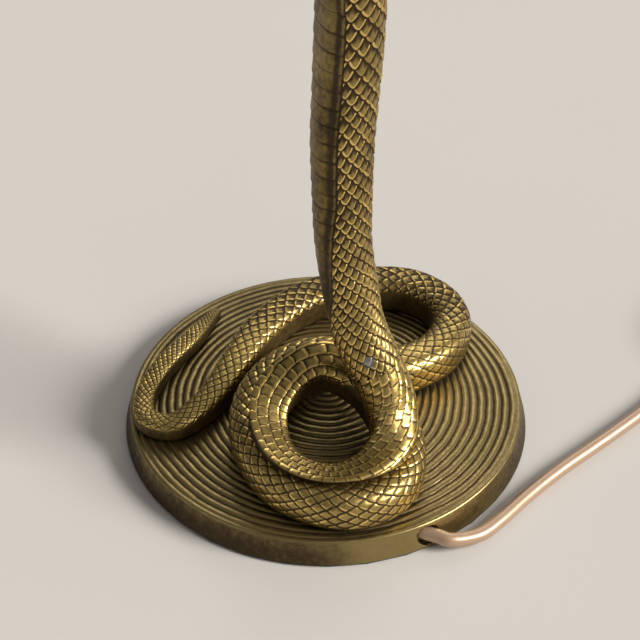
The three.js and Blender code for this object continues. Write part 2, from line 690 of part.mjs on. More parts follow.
add('base_casting', baseCasting(), bronze());
let plate = bar(CAVITY_R - SEAT, RIM_Z, PLATE_TOP, 0, 0, TURN);
const [SINK_R, SHANK_R] = [2.4, M25 / 2];
PILLAR_TURNS.forEach((turn, i) => {
  const [x, y] = [PILLAR_AT * Math.cos(rad(turn)), PILLAR_AT * Math.sin(rad(turn))];
  const screw = (grow) => turned([
    [0, RIM_Z - grow], [SINK_R + 2 * grow, RIM_Z - grow], [SHANK_R + grow, PLATE_TOP],
    [SHANK_R + grow, PLATE_TOP + SCREW_GRIP], [0, PLATE_TOP + SCREW_GRIP],
  ], 12).translate([x, y, 0]);
  plate = plate.subtract(screw(FIT));
  add(`cover_screw_${i + 1}`, screw(0), steel());
});
add('base_cover_plate', plate, steel());
add('felt_pad', bar(FOOT_R - 1, 0, FELT_T, 0, 0, TURN), finish(0x2c3326, 1, 0));

add('tail_casting', tailCasting(), bronze());
TAIL_FIXINGS.forEach(([x, y, size], i) => {
  add(`tail_screw_${i + 1}`, fixing(x, y, size, faceAt(x, y), SCREW_GRIP), steel());
});
add('coil_casting', coilCasting(), bronze());
COIL_FIXINGS.forEach(([x, y, size], i) => {
  add(`coil_screw_${i + 1}`, fixing(x, y, size, faceAt(x, y), SCREW_GRIP), steel());
});
add('clamp_tube', tube(TUBE_R, TUBE_BORE, CLAMP_LOW, CLAMP_TOP, CLAMP_AT.x, CLAMP_AT.y, 16), brass());
add('clamp_washer', tube(WASHER_R, TUBE_R + FIT, CLAMP_FACE - SEAT - WASHER_T, CLAMP_FACE - SEAT,
  CLAMP_AT.x, CLAMP_AT.y, 20), steel());
add('clamp_nut', hexagon(NUT_R, TUBE_R + FIT, CLAMP_NUT_TOP - CLAMP_NUT_H, CLAMP_NUT_TOP,
  CLAMP_AT.x, CLAMP_AT.y), brass());
add('rise_casting', riseCasting(), bronze());
add('hood_casting', hoodCasting(), bronze());

add('holder_tube', tube(TUBE_R, TUBE_BORE, BOSS_TOP - TUBE_DEPTH, CAP_Z + TUBE_RISE, 0, 0, 16), brass());
add('holder_nut', hexagon(NUT_R, TUBE_R + FIT, NUT_Z, NUT_Z + NUT_H), brass());
add('holder_cap', holderCap(), darkBronze());
add('holder_body', tube(BODY_R, BORE_R, BODY_Z, BODY_Z + BODY_H, 0, 0, 32), black());
add('holder_block', turned([
  [0, BLOCK_Z], [BORE_R + 2, BLOCK_Z], [BORE_R + 2, BODY_Z - SEAT], [BORE_R - SEAT, BODY_Z - SEAT],
  [BORE_R - SEAT, BLOCK_TOP], [0, BLOCK_TOP],
]), finish(0xe6e1d6, 0.35, 0));
add('centre_contact', bar(3, BLOCK_TOP + SEAT, FOOT_Z - SEAT, 0, 0, 12), brass());
add('side_contact', solid(new THREE.BoxGeometry(1, 5, 12)).translate(
  [BORE_R - SEAT - 0.5, 0, BLOCK_TOP + SEAT + 6],
), brass());
add('switch_bar', switchBar(), black());
add('shade_ring_lower', tube(RING_OUT, BODY_R + FIT, RING_Z, RING_Z + RING_H, 0, 0, 32), black());
add('shade_ring_upper', tube(RING_OUT, BODY_R + FIT, RING_Z + RING_H + RING_GAP,
  RING_Z + 2 * RING_H + RING_GAP, 0, 0, 32), black());
add('bulb_foot', bar(4.5, FOOT_Z, BULB_Z - SEAT, 0, 0, 16), brass());
add('bulb_cap', bulbCap(), steel());
add('bulb_glass', bulbGlass(), finish(0xf3f0e8, 0.1, 0));

add('cord_clip', cordClip(), steel());
add('cord_clip_screw', fixing(CLIP_SCREW.x, CLIP_SCREW.y, M3, CLIP_TAB - CLIP_T,
  CLIP_T + SEAT + CLIP_GRIP), steel());
add('cord_entry', along(smooth([
  ENTRY_END, CLIP_MID, HOLE_AT.clone().addScaledVector(heading, -9).setZ(HOLE_Z + 0.1), HOLE_AT,
  EXIT.clone().addScaledVector(heading, -SEAT),
]), CORD_R, 8, 12), sheath());
add('core_live', core(0), finish(0x5a3a24, 0.5, 0));
add('core_neutral', core(Math.PI), finish(0x2d4f86, 0.5, 0));
add('cord_free', along(smooth(FREE), CORD_R, 8, 24), sheath());
add('cord_coil', along(smooth(COIL), CORD_R, 6, COIL.length), sheath());
add('cord_tail', along(smooth(CORD_TAIL), CORD_R, 8, 10), sheath());
add('plug_body', plugBody(), sheath());
add('plug_pin_1', pin(-1), brass());
add('plug_pin_2', pin(1), brass());

const lengthOf = (points) => smooth(points).getLength();
console.log(`cord length ${(lengthOf(FREE) + lengthOf(COIL) + lengthOf(CORD_TAIL)).toFixed(0)} mm`);

export default parts;
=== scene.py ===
# Bronze cobra table lamp, seen from above its front: a ridged cast base, a scaled snake in loops on
# it, a hood and head, a screw lampholder with its bulb, and a round flexible cord with a plug.
# Objects are in metres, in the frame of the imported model: +Z up, and the snake looks towards -X.
# The points of the snake, the lampholder, the bulb, the cord and its plug are in millimetres.
import math

import bpy
import numpy as np
from mathutils import Euler, Matrix, Vector


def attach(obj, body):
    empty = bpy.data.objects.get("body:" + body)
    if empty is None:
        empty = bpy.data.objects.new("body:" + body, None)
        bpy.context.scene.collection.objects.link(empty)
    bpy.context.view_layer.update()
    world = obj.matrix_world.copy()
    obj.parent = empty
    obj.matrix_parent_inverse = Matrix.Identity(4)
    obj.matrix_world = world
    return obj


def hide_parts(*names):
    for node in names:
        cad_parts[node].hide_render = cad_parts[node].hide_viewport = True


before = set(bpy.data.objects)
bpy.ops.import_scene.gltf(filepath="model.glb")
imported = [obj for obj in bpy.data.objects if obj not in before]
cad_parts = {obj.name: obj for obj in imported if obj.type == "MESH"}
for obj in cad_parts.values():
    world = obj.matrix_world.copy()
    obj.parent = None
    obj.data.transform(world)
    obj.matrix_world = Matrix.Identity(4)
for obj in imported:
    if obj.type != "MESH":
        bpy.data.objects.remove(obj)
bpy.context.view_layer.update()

# View and light.
# The camera stands where the photograph was taken: 1 m off, 41 degrees above the table. A large
# window on the right, a weak one behind, a weak fill from the left and a pale room light the lamp.
IMAGE_PX = 640
FOCAL_PX = 2434
SENSOR_MM = 36
AIM = Vector((-0.0025, 0, 0.0576))
DISTANCE = 1.0
ELEVATION = math.radians(41.07)
ROOM_DIM = (0.13, 0.122, 0.115, 1)
ROOM_BRIGHT = (0.5, 0.48, 0.45, 1)
FLOOR_HALF = 12
FLOOR_LOW = (0.6, 0.575, 0.545, 1)
FLOOR_HIGH = (0.64, 0.615, 0.585, 1)

lens = bpy.data.cameras.new("view")
lens.sensor_width = SENSOR_MM
lens.lens = SENSOR_MM * FOCAL_PX / IMAGE_PX
camera = bpy.data.objects.new("view", lens)
camera.location = AIM + DISTANCE * Vector((0, -math.cos(ELEVATION), math.sin(ELEVATION)))
camera.rotation_euler = Euler((math.pi / 2 - ELEVATION, 0, 0))
bpy.context.collection.objects.link(camera)
bpy.context.scene.camera = camera
bpy.context.scene.view_settings.view_transform = "Standard"


def window(name, side, spread, strength, colour):
    """Soft daylight from a far window: the side it comes from and its width in degrees"""
    lamp = bpy.data.lights.new(name, "SUN")
    lamp.angle = math.radians(spread)
    lamp.energy = strength
    lamp.color = colour
    made = bpy.data.objects.new(name, lamp)
    made.rotation_euler = (-Vector(side)).to_track_quat("-Z", "Y").to_euler()
    bpy.context.collection.objects.link(made)


window("window_right", (8.1, -2.4, 5.3), 26, 4.1, (1, 0.97, 0.92))
window("window_back", (1.5, 8, 6.8), 26, 0.35, (1, 0.98, 0.95))
window("fill_left", (-8, -4, 5.9), 34, 0.16, (0.93, 0.96, 1))


class Wire:
    """An output socket of a node tree; a sum on it adds the tree's own Math node."""

    def __init__(self, tree, socket=None):
        self.tree = tree
        self.socket = socket

    def node(self, kind, sockets, out=0, **settings):
        """Adds any node: its settings first, then the values or wires of its sockets"""
        made = self.tree.nodes.new(kind)
        for name, value in settings.items():
            setattr(made, name, value)
        for key, value in sockets.items():
            if isinstance(value, Wire):
                self.tree.links.new(value.socket, made.inputs[key])
            else:
                made.inputs[key].default_value = value
        return Wire(self.tree, made.outputs[out])

    def maths(self, operation, *values):
        return self.node("ShaderNodeMath", dict(enumerate(values)), operation=operation)

    def __add__(self, other):
        return self.maths("ADD", self, other)

    __radd__ = __add__

    def __sub__(self, other):
        return self.maths("SUBTRACT", self, other)

    def __rsub__(self, other):
        return self.maths("SUBTRACT", other, self)

    def __mul__(self, other):
        return self.maths("MULTIPLY", self, other)

    __rmul__ = __mul__

    def __truediv__(self, other):
        return self.maths("DIVIDE", self, other)

    def __pow__(self, other):
        return self.maths("POWER", self, other)

    def least(self, other):
        return self.maths("MINIMUM", self, other)

    def most(self, other):
        return self.maths("MAXIMUM", self, other)

    def floor(self):
        return self.maths("FLOOR", self)

    def fraction(self):
        return self.maths("FRACT", self)

    def size(self):
        """The value without its sign"""
        return self.maths("ABSOLUTE", self)

    def arch(self):
        """Rises from 0 to 1 and falls back from each whole number to the next"""
        return self.maths("SINE", self * math.pi).size()

    def wave(self):
        """Falls from 1 to -1 and rises back from each whole number to the next"""
        return self.maths("COSINE", self * (2 * math.pi))

    def step(self, low, high):
        """0 up to low, 1 from high, and a smooth rise between them"""
        sockets = {"Value": self, "From Min": low, "From Max": high}
        return self.node("ShaderNodeMapRange", sockets, interpolation_type="SMOOTHSTEP")

    def blend(self, low, high):
        """A colour that goes from low to high as this goes from 0 to 1"""
        return self.node("ShaderNodeMix", {0: self, 6: low, 7: high}, out=2, data_type="RGBA")

    def axis(self, name):
        return self.node("ShaderNodeSeparateXYZ", {0: self}, out=name)

    def vectors(self, operation, other=(0, 0, 0), out="Vector"):
        """Vector maths on this vector and another one; out="Value" where the result is a number"""
        sockets = {0: self, 1: other}
        return self.node("ShaderNodeVectorMath", sockets, out=out, operation=operation)

    def level(self):
        """The vector without its height"""
        return self.vectors("MULTIPLY", (1, 1, 0))

    def noise(self, scale, detail=3, roughness=0.55):
        sockets = {"Vector": self, "Scale": scale, "Detail": detail, "Roughness": roughness}
        return self.node("ShaderNodeTexNoise", sockets)

    def stretched(self, scale):
        return self.node("ShaderNodeMapping", {"Vector": self, "Scale": scale})

    def bump(self, distance, strength):
        sockets = {"Height": self, "Distance": distance, "Strength": strength}
        return self.node("ShaderNodeBump", sockets)


def material(name, constants):
    """A new material with its shader's fixed values set, a wire of each point's place, and a
    function that wires the shader's sockets"""
    made = bpy.data.materials.new(name)
    made.use_nodes = True
    shader = made.node_tree.nodes["Principled BSDF"]
    for socket, value in constants.items():
        shader.inputs[socket].default_value = value
    place = Wire(made.node_tree).node("ShaderNodeTexCoord", {}, out="Object")

    def drive(**wires):
        for socket, wire in wires.items():
            made.node_tree.links.new(wire.socket, shader.inputs[socket.replace("_", " ")])

    return made, place, drive


def room():
    """A world that is brighter on the window's side"""
    world = bpy.data.worlds.new("room")
    world.use_nodes = True
    facing = Wire(world.node_tree).node("ShaderNodeTexCoord", {}, out="Generated")
    glow = facing.axis("X").step(-0.8, 1.0).blend(ROOM_DIM, ROOM_BRIGHT)
    world.node_tree.links.new(glow.socket, world.node_tree.nodes["Background"].inputs["Color"])
    bpy.context.scene.world = world


room()

floor_mesh = bpy.data.meshes.new("floor")
corners = [(x * FLOOR_HALF, y * FLOOR_HALF, 0) for x, y in ((-1, -1), (1, -1), (1, 1), (-1, 1))]
floor_mesh.from_pydata(corners, [], [(0, 1, 2, 3)])
floor = bpy.data.objects.new("floor", floor_mesh)
bpy.context.collection.objects.link(floor)
pale, place, drive = material("pale_floor", {"Roughness": 0.9, "Specular IOR Level": 0.2})
drive(Base_Color=place.noise(3).blend(FLOOR_LOW, FLOOR_HIGH))
floor_mesh.materials.append(pale)

# Base.
# One sand casting of bronze: a round foot with concentric ridges on a slightly domed top and a
# plain flared wall, hollow below, with a drilled hole at the right front for the cord.
MM = 0.001
RIM_R = 82.5 * MM
FOOT_R = 85.4 * MM
RIM_H = 12 * MM
DOME_SLOPE = 0.09
TOP_WALL = 3 * MM
SIDE_WALL = 2.4 * MM
RIDGE_PITCH = 3.35 * MM
RIDGE_DEPTH = 0.9 * MM
RIDGE_WANDER = 0.42
RIM_BAND = 1.8 * MM
SEAT = 0.3 * MM
FELT_T = 1 * MM
HOLE_R = 4.6 * MM
HOLE_Z = 6 * MM
HOLE_TURN = math.radians(-59.4)
HOLE_LEAN = math.radians(-34)
HOLE_ASIDE = 1.1 * MM
HOLE_REACH = 8 * MM
# Distances from the cord hole over which the painted light on the base's wall fades out
PAINTED_LIGHT_NEAR = 12 * MM
PAINTED_LIGHT_FAR = 62 * MM
ON_AXIS = 1e-7
GOLD = (0.42, 0.3, 0.1)
RIDGE_GOLD = (0.31, 0.235, 0.1)
PATINA = (0.05, 0.029, 0.009)
BRAZE_GREY = (0.3, 0.33, 0.37, 1)


def crest(r):
    """The height of the domed top at a radius"""
    return RIM_H + DOME_SLOPE * (RIM_R - r)


def wall_at(z):
    """The radius of the flared wall at a height"""
    return FOOT_R + (RIM_R - FOOT_R) * z / RIM_H


wall_out = Vector((math.cos(HOLE_TURN), math.sin(HOLE_TURN), 0))
wall_left = Vector((math.sin(HOLE_TURN), -math.cos(HOLE_TURN), 0))
hole_at = wall_at(HOLE_Z) * wall_out + Vector((0, 0, HOLE_Z))


def new_piece(name, points, faces, crease=35):
    """A smooth-shaded mesh object whose edges sharper than crease degrees stay sharp"""
    mesh = bpy.data.meshes.new(name)
    mesh.from_pydata([tuple(p) for p in points], [], faces)
    mesh.shade_smooth()
    mesh.set_sharp_from_angle(angle=math.radians(crease))
    made = bpy.data.objects.new(name, mesh)
    bpy.context.collection.objects.link(made)
    return made


def turned(name, profile, flats=96, crease=35):
    """A turned piece from (radius, height) points that start and end on the axis, or else close"""
    profile = [(float(r), float(z)) for r, z in profile]
    rounds = [(r, z) for r, z in profile if r > ON_AXIS]
    tipped = profile[0][0] <= ON_AXIS
    turns = np.arange(flats) / flats * 2 * math.pi
    points = [(r * math.cos(t), r * math.sin(t), z) for r, z in rounds for t in turns]
    faces = []
    last = len(rounds) - 1 if tipped else len(rounds)
    for i in range(last):
        low, high = i * flats, (i + 1) % len(rounds) * flats
        for j in range(flats):
            k = (j + 1) % flats
            faces.append((low + j, low + k, high + k, high + j))
    if tipped:
        for row, z, inward in [(0, profile[0][1], True), (last, profile[-1][1], False)]:
            points.append((0, 0, z))
            tip = len(points) - 1
            for j in range(flats):
                a, b = row * flats + j, row * flats + (j + 1) % flats
                faces.append((tip, b, a) if inward else (tip, a, b))
    area = sum(r * z2 - r2 * z for (r, z), (r2, z2) in zip(profile, profile[1:] + profile[:1]))
    if area < 0:
        faces = [f[::-1] for f in faces]
    return new_piece(name, points, faces, crease)


def node_tree(name, *numbers):
    """A Geometry Nodes tree with named numbers and a material as its inputs: the wires of each
    point's place and of the way that it faces, and a wire for each input"""
    tree = bpy.data.node_groups.new(name, "GeometryNodeTree")
    tree.is_modifier = True
    tree.interface.new_socket("Geometry", in_out="OUTPUT", socket_type="NodeSocketGeometry")
    kinds = {"Geometry": "Geometry", **dict.fromkeys(numbers, "Float"), "Material": "Material"}
    for label, kind in kinds.items():
        tree.interface.new_socket(label, in_out="INPUT", socket_type="NodeSocket" + kind)
    start = tree.nodes.new("NodeGroupInput")
    place = Wire(tree).node("GeometryNodeInputPosition", {})
    facing = Wire(tree).node("GeometryNodeInputNormal", {})
    return place, facing, {s.name: Wire(tree, s) for s in start.outputs if s.name}


def end_tree(shape, coat):
    """Makes the tree's result real, coats it, and gives the finished tree"""
    real = shape.node("GeometryNodeRealizeInstances", {"Geometry": shape})
    coated = shape.node("GeometryNodeSetMaterial", {"Geometry": real, "Material": coat})
    end = shape.tree.nodes.new("NodeGroupOutput")
    shape.tree.links.new(coated.socket, end.inputs[0])
    return shape.tree


def stored(shape, name, value):
    """Keeps a value at each point as an attribute of the shape"""
    kind = "GeometryNodeStoreNamedAttribute"
    sockets = {"Geometry": shape, "Name": name, "Value": value}
    return shape.node(kind, sockets, data_type="FLOAT", domain="POINT")


def shifted(shape, way, height):
    """Moves each point along a way by its own height"""
    offset = shape.node("ShaderNodeVectorMath", {0: way, "Scale": height}, operation="SCALE")
    return shape.node("GeometryNodeSetPosition", {"Geometry": shape, "Offset": offset})


def settled(piece, modifier):
    """Keeps what a modifier makes of a piece as the piece's mesh, and removes the modifier"""
    view = bpy.context.evaluated_depsgraph_get()
    shown = piece.evaluated_get(view)
    mesh = bpy.data.meshes.new_from_object(shown, preserve_all_data_layers=True, depsgraph=view)
    piece.modifiers.remove(modifier)
    old = piece.data
    piece.data = mesh
    bpy.data.meshes.remove(old)
    return piece


def grown(piece, tree, values):
    """Runs a tree on a piece with its named inputs"""
    run = piece.modifiers.new("shape", "NODES")
    run.node_group = tree
    for item in tree.interface.items_tree:
        if item.name in values:
            run[item.identifier] = values[item.name]
    return settled(piece, run)


def drilled(piece, radius, reach, place, heading):
    """Cuts a round hole through a piece along a level heading"""
    cutter = turned("drill", [(0, -reach), (radius, -reach), (radius, reach), (0, reach)], 32)
    cutter.data.transform(Matrix.Translation(place) @ Matrix.Rotation(heading, 4, "Z")
                          @ Matrix.Rotation(math.pi / 2, 4, "Y"))
    cut = piece.modifiers.new("hole", "BOOLEAN")
    cut.object = cutter
    cut.solver = "EXACT"
    settled(piece, cut)
    bpy.data.objects.remove(cutter)


def placed(piece, body, slot, *nodes, coat=None):
    """Coats a piece, and says which body it rides on and the CAD nodes that it stands for;
    its material slot is not used"""
    if coat:
        piece.data.materials.append(coat)
    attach(piece, body)
    if nodes:
        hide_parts(*nodes)


def bronze(name, gold, age, spot=None):
    """Cast bronze: warm where it is worn and under painted light, olive-brown in its hollows and
    under painted shade, with a fine cast skin. Age is how much patina lies all over it, and a spot
    is a place where grey braze shows."""
    made, place, drive = material(name, {"Specular IOR Level": 0.5})
    patina_and_painted_shade = place.node("ShaderNodeAttribute", {}, out="Fac", attribute_name="patina_and_painted_shade")
    wear_and_painted_light = place.node("ShaderNodeAttribute", {}, out="Fac", attribute_name="wear_and_painted_light")
    cloud = place.noise(38, 4, 0.6)
    grain = place.noise(420, 4, 0.65)
    pits = place.noise(1500, 2, 0.6)
    # The darkness read here holds patina in hollows and painted shade; the warmth holds worn edges
    # and painted light
    dark = (patina_and_painted_shade * 1.1 + (cloud - 0.5) * 0.8 + (grain - 0.5) * 0.7 + age - wear_and_painted_light * 0.7).step(0, 1)
    body = dark.blend((*gold, 1), (*PATINA, 1))
    rubbed_and_lit = (wear_and_painted_light * (0.6 + grain * 0.8)).step(0.22, 0.7)
    colour = rubbed_and_lit.blend(body, (*[min(1, c * 2) for c in gold], 1))
    rough = 0.34 + dark * 0.2 + (grain - 0.5) * 0.16 - rubbed_and_lit * 0.08
    if spot:
        from_spot = place.vectors("DISTANCE", spot, "Value")
        grey = 1 - (from_spot * 1000 + (grain - 0.5) * 3).step(1.2, 3.2)
        colour = (grey * 0.7).blend(colour, BRAZE_GREY)
    skin = cloud * 0.4 + grain * 0.45 + pits * 0.15
    drive(Base_Color=colour, Metallic=1 - dark * 0.35, Roughness=rough,
          Normal=skin.bump(0.35 * MM, 0.55))
    return made


def ridge_tree():
    """Concentric ridges cut down into a domed disc, as wavy as hand-dressed casting patterns are,
    and a wall with painted shade that darkens it towards its foot and painted light round the cord
    hole"""
    place, facing, given = node_tree("cast_ridges", "Pitch", "Depth", "Edge", "Wander")
    inward = given["Edge"] - place.level().vectors("LENGTH", out="Value")
    up = facing.axis("Z")
    sway = place.noise(22, 2) - 0.5
    wobble = place.noise(75, 2) - 0.5
    shake = place.noise(190, 2) - 0.5
    count = (inward / given["Pitch"] + sway * given["Wander"]
             + wobble * (given["Wander"] * 0.8) + shake * 0.16)
    ridge = count.arch()
    top = up.step(0.6, 0.8) * inward.step(0, 0.4 * MM)
    hollow = (1 - ridge ** 0.42) * top
    deep = hollow * given["Depth"] * (0.85 + sway * 0.9)
    # Painted light on the wall round the cord hole, which faces the window, and painted shade that
    # darkens the wall towards its foot
    painted_light_by_hole = 1 - place.vectors("DISTANCE", hole_at, "Value").step(PAINTED_LIGHT_NEAR, PAINTED_LIGHT_FAR)
    wall = 1 - up.step(0.2, 0.6)
    side = wall * (0.68 - place.axis("Z").step(4 * MM, RIM_H) * 0.26 - painted_light_by_hole * 0.7)
    shape = stored(given["Geometry"], "patina_and_painted_shade", hollow.step(0.12, 0.8).most(side))
    edge = up.step(0.25, 0.6) * (1 - inward.step(-1.5 * MM, -0.9 * MM))
    # Worn crests and rim, together with the painted light on the wall round the cord hole
    rubbed_and_lit = (ridge.step(0.93, 1) * top * 0.6).most(edge).most(wall * painted_light_by_hole * 0.7)
    shape = stored(shape, "wear_and_painted_light", rubbed_and_lit * (0.35 + shake))
    return end_tree(shifted(shape, (0, 0, -1), deep), given["Material"])


def base_profile():
    """The outline from the middle of the top, over the rim, the wall and the foot, to the hollow"""
    low = FELT_T + SEAT
    cavity = wall_at(RIM_H / 2) - SIDE_WALL
    top = [(r, crest(r)) for r in np.linspace(0, RIM_R - 0.9 * MM, 236)]
    edge = [(RIM_R - 0.45 * MM, RIM_H + 0.02 * MM), (RIM_R - 0.1 * MM, RIM_H - 0.2 * MM),
            (RIM_R + 0.08 * MM, RIM_H - 0.6 * MM)]
    side = [(wall_at(z) - 0.1 * MM, z) for z in np.linspace(RIM_H - 1.4 * MM, low + 0.5 * MM, 8)]
    foot = [(wall_at(low) - 0.2 * MM, low + 0.12 * MM), (wall_at(low) - 0.6 * MM, low)]
    inside = [(cavity, low), (cavity, crest(cavity) - TOP_WALL), (0, crest(0) - TOP_WALL)]
    return top + edge + side + foot + inside


base = turned("cobra_base", base_profile(), 240)
drilled(base, HOLE_R, HOLE_REACH, hole_at + HOLE_ASIDE * wall_left, HOLE_LEAN)
grown(base, ridge_tree(), {
    "Pitch": RIDGE_PITCH, "Depth": RIDGE_DEPTH, "Edge": RIM_R - RIM_BAND, "Wander": RIDGE_WANDER,
    "Material": bronze("ridged_bronze", RIDGE_GOLD, 0.2),
})
placed(base, "lamp", "ridged_bronze", "base_casting")

# Cover plate, felt and screws under the base.
# A steel plate closes the hollow of the base, three countersunk screws hold it to cast pillars,
# and a glued disc of wool felt covers both.


def dress(coat, *names):
    """Gives CAD nodes a finished material"""
    for name in names:
        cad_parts[name].data.materials.clear()
        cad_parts[name].data.materials.append(coat)


def plated_steel():
    made, place, drive = material("plated_steel", {"Metallic": 1.0})
    cloud = place.noise(60, 4)
    lines = place.stretched((1, 30, 1)).noise(90)
    drive(Base_Color=cloud.blend((0.48, 0.49, 0.49, 1), (0.62, 0.62, 0.6, 1)),
          Roughness=0.26 + cloud * 0.14 + lines * 0.1, Normal=lines.bump(0.05 * MM, 0.4))
    return made


def wool_felt():
    made, place, drive = material("wool_felt", {"Roughness": 1.0, "Sheen Weight": 0.4})
    fibre = place.noise(900, 4, 0.7)
    mixed = fibre * 0.7 + place.noise(70) * 0.3
    drive(Base_Color=mixed.blend((0.02, 0.027, 0.017, 1), (0.05, 0.065, 0.04, 1)),
          Normal=fibre.bump(0.3 * MM, 0.8))
    return made


steel = plated_steel()
dress(steel, "base_cover_plate", "cover_screw_1", "cover_screw_2", "cover_screw_3")
dress(wool_felt(), "felt_pad")

# Snake.
# Four bronze castings, scaled along the back and brazed together: the tail with its hairpin and
# right loop, the two turns of the coil, the rise with its belly scutes, and the hood.
SINK = 0.85
TURN_BACK = math.radians(18)
UP = (0, 0, 1)
BACK = (math.cos(TURN_BACK), math.sin(TURN_BACK), 0)
# Heights in millimetres where the groove by the belly, the folds beside the scutes and the scutes
# start, and the heights over which each comes to its full size
GROOVE_FROM, GROOVE_OVER = 50, 25
FOLDS_FROM, FOLDS_OVER = 60, 30
SCUTES_FROM, SCUTES_OVER = 92, 30
GROOVE_W = 0.55
GROOVE_LEAST = 0.15
FOLD_AT = -2.6
FOLD_W = 2.4
FOLD_DEPTH = 0.07
SCALES_OVER = 0.7
BED_GAP = 0.25
BED_SHADE = 3.2
EXTRA_POINTS = 2.4
LONGEST_SCALE = 9
WIDEST_SCALE = 6
SWEEP = 0.25
SWEPT_ROWS = 4.5
# The heights over which the scales darken higher up, and the distances behind the lamp's axis over
# which painted shade darkens the lower body, in metres
DARKEN_HEIGHT = (0.05, 0.13)
SHADE_BEHIND = (0.012, 0.05)
MEASURES = ("row", "column", "scaled", "scuted", "groove", "painted_crevice_shade")


def on_base(x, y, wide, tall):
    """A station of the body where it lies on the ridges, in millimetres: its middle, its half
    width and half height, and the way that its back faces"""
    return (x, y, 1000 * crest(math.hypot(x, y) * MM) + SINK * tall, wide, tall, UP)


TAIL = [on_base(*station) for station in [
    (-47.5, 55.5, 1.8, 1.8),
    (-57, 34.5, 4.1, 4),
    (-69, 16, 4.6, 4.4),
    (-76, -3, 4.5, 4.3),
    (-74.5, -16.5, 4.8, 4.5),
    (-64, -21.5, 5.1, 4.8),
    (-51, -12, 5.9, 5.6),
    (-39, 9, 7, 6.8),
    (-29, 29.5, 7.8, 7.6),
    (-11, 51, 8.2, 8),
    (13, 62, 8.5, 8.4),
    (36, 62.5, 8.6, 8.6),
    (50, 51.5, 8.7, 8.6),
    (54, 36, 8.8, 8.7),
    (47, 18, 9, 8.9),
    (30.5, 5.5, 9.3, 9.2),
]]
LOWER = [on_base(*station) for station in [
    (17, 3.5, 9.5, 9.4),
    (5, 8.5, 9.7, 9.6),
    (-8, 7.5, 9.8, 9.7),
    (-19.5, -0.5, 9.9, 9.8),
    (-27.5, -13.5, 10, 10),
    (-30, -28.5, 10, 10),
    (-27, -43, 10, 10),
    (-18.5, -58, 10, 10),
    (-5, -67, 10, 10),
    (9, -70, 10, 10),
    (21, -66, 10, 10),
    (29, -56, 10, 10),
]] + [
    (30.5, -44, 25, 10, 9.8, UP),
    (27, -31, 29.5, 9.8, 9.2, UP),
    (19, -20.5, 36, 9.5, 8.4, UP),
]
UPPER = [
    (8, -14, 41.3, 9.2, 8.8, (-0.1, -0.2, 1)),
    (-3, -12.5, 43.8, 9, 9.2, (0, -0.35, 1)),
    (-16, -18.5, 40.5, 8.8, 8.3, (0.2, -0.25, 1)),
    (-24.3, -30.8, 36.4, 8.7, 6.6, (0.3, -0.05, 1)),
    (-24.5, -43.8, 32.4, 8.6, 6.4, (0.3, 0.1, 1)),
    (-18, -56.9, 29.6, 8.1, 6.2, (0.2, 0.2, 1)),
    (-5.5, -64.8, 28.5, 7.7, 6.2, (0, 0.25, 1)),
    (8, -65.3, 28.5, 7.8, 6.4, (0, 0.2, 1)),
    (20, -58.6, 30.3, 8.6, 7, (0, 0.1, 1)),
    (26.5, -48, 34.5, 9.3, 8, (0.2, 0, 1)),
    (26.5, -37, 41, 10, 9.4, (0.5, -0.3, 0.9)),
    (22.5, -30, 52, 10.8, 10.6, (0.9, -0.3, 0.5)),
    (13, -23, 73, 11.2, 11, (1, 0, 0.3)),
]
RISE = [(*station, BACK) for station in [
    (9, -19, 94, 11, 11),
    (6.5, -16, 114, 11, 11.1),
    (6, -13, 135, 11.8, 11.5),
    (6, -10.5, 158, 12.8, 12),
    (7, -8, 178, 14, 12.2),
    (8, -6.5, 198, 15.6, 12.4),
    (8.7, -5, 218, 17.5, 12.2),
]]
HOOD = [(*station, BACK) for station in [
    (8.5, -4, 238, 21, 11.6),
    (7.5, -3, 262, 28, 10.6),
    (5.5, -2, 288, 35.5, 9.6),
    (3, -1, 314, 40, 9),
    (1, -0.5, 336, 37, 9),
    (0, 0, 353, 25, 9.6),
    (0, 0, 367, 14, 10),
]]
# Stretches of stations in a row: how many; squareness of the section; the shares of the half girth
# from the belly that carry no scales, on the side of the coil's middle and on the other side; the
# scales' length and width as shares of half the section's width and height together; and how deep
# the side away from the coil's middle is cut under, in millimetres
STRETCHES = [
    (11, 3.4, 0.66, 0.62, 0.4, 0.31, 0),
    (2, 3.2, 0.5, 0.66, 0.38, 0.3, 0),
    (3, 3, 0.34, 0.66, 0.34, 0.27, 0),
    (15, 2.7, 0.8, 0.32, 0.29, 0.24, 0),
    (1, 3.4, 0.62, 0.6, 0.3, 0.27, 0),
    (1, 4.2, 0.62, 0.64, 0.3, 0.28, 0.5),
    (1, 5.5, 0.62, 0.68, 0.3, 0.3, 1.2),
    (1, 7, 0.62, 0.7, 0.3, 0.3, 2.4),
    (4, 7, 0.62, 0.7, 0.3, 0.3, 3.4),
    (1, 4.4, 0.6, 0.64, 0.31, 0.27, 1.6),
    (1, 3.4, 0.5, 0.5, 0.32, 0.22, 0.4),
    (1, 2.6, 0.34, 0.4, 0.3, 0.2, 0),
    (1, 2.3, 0.1, 0.34, 0.29, 0.2, 0),
    (1, 2.3, 0.08, 0.34, 0.29, 0.2, 0),
    (1, 2.3, 0.19, 0.34, 0.29, 0.2, 0),
    (1, 2.3, 0.27, 0.34, 0.29, 0.2, 0),
    (5, 2.3, 0.34, 0.34, 0.305, 0.2, 0),
    (1, 2.2, 0.28, 0.28, 0.305, 0.19, 0),
    (1, 2.2, 0.2, 0.2, 0.3, 0.19, 0),
    (4, 2.2, 0.17, 0.17, 0.3, 0.19, 0),
    (1, 2.2, 0.24, 0.24, 0.3, 0.19, 0),
]


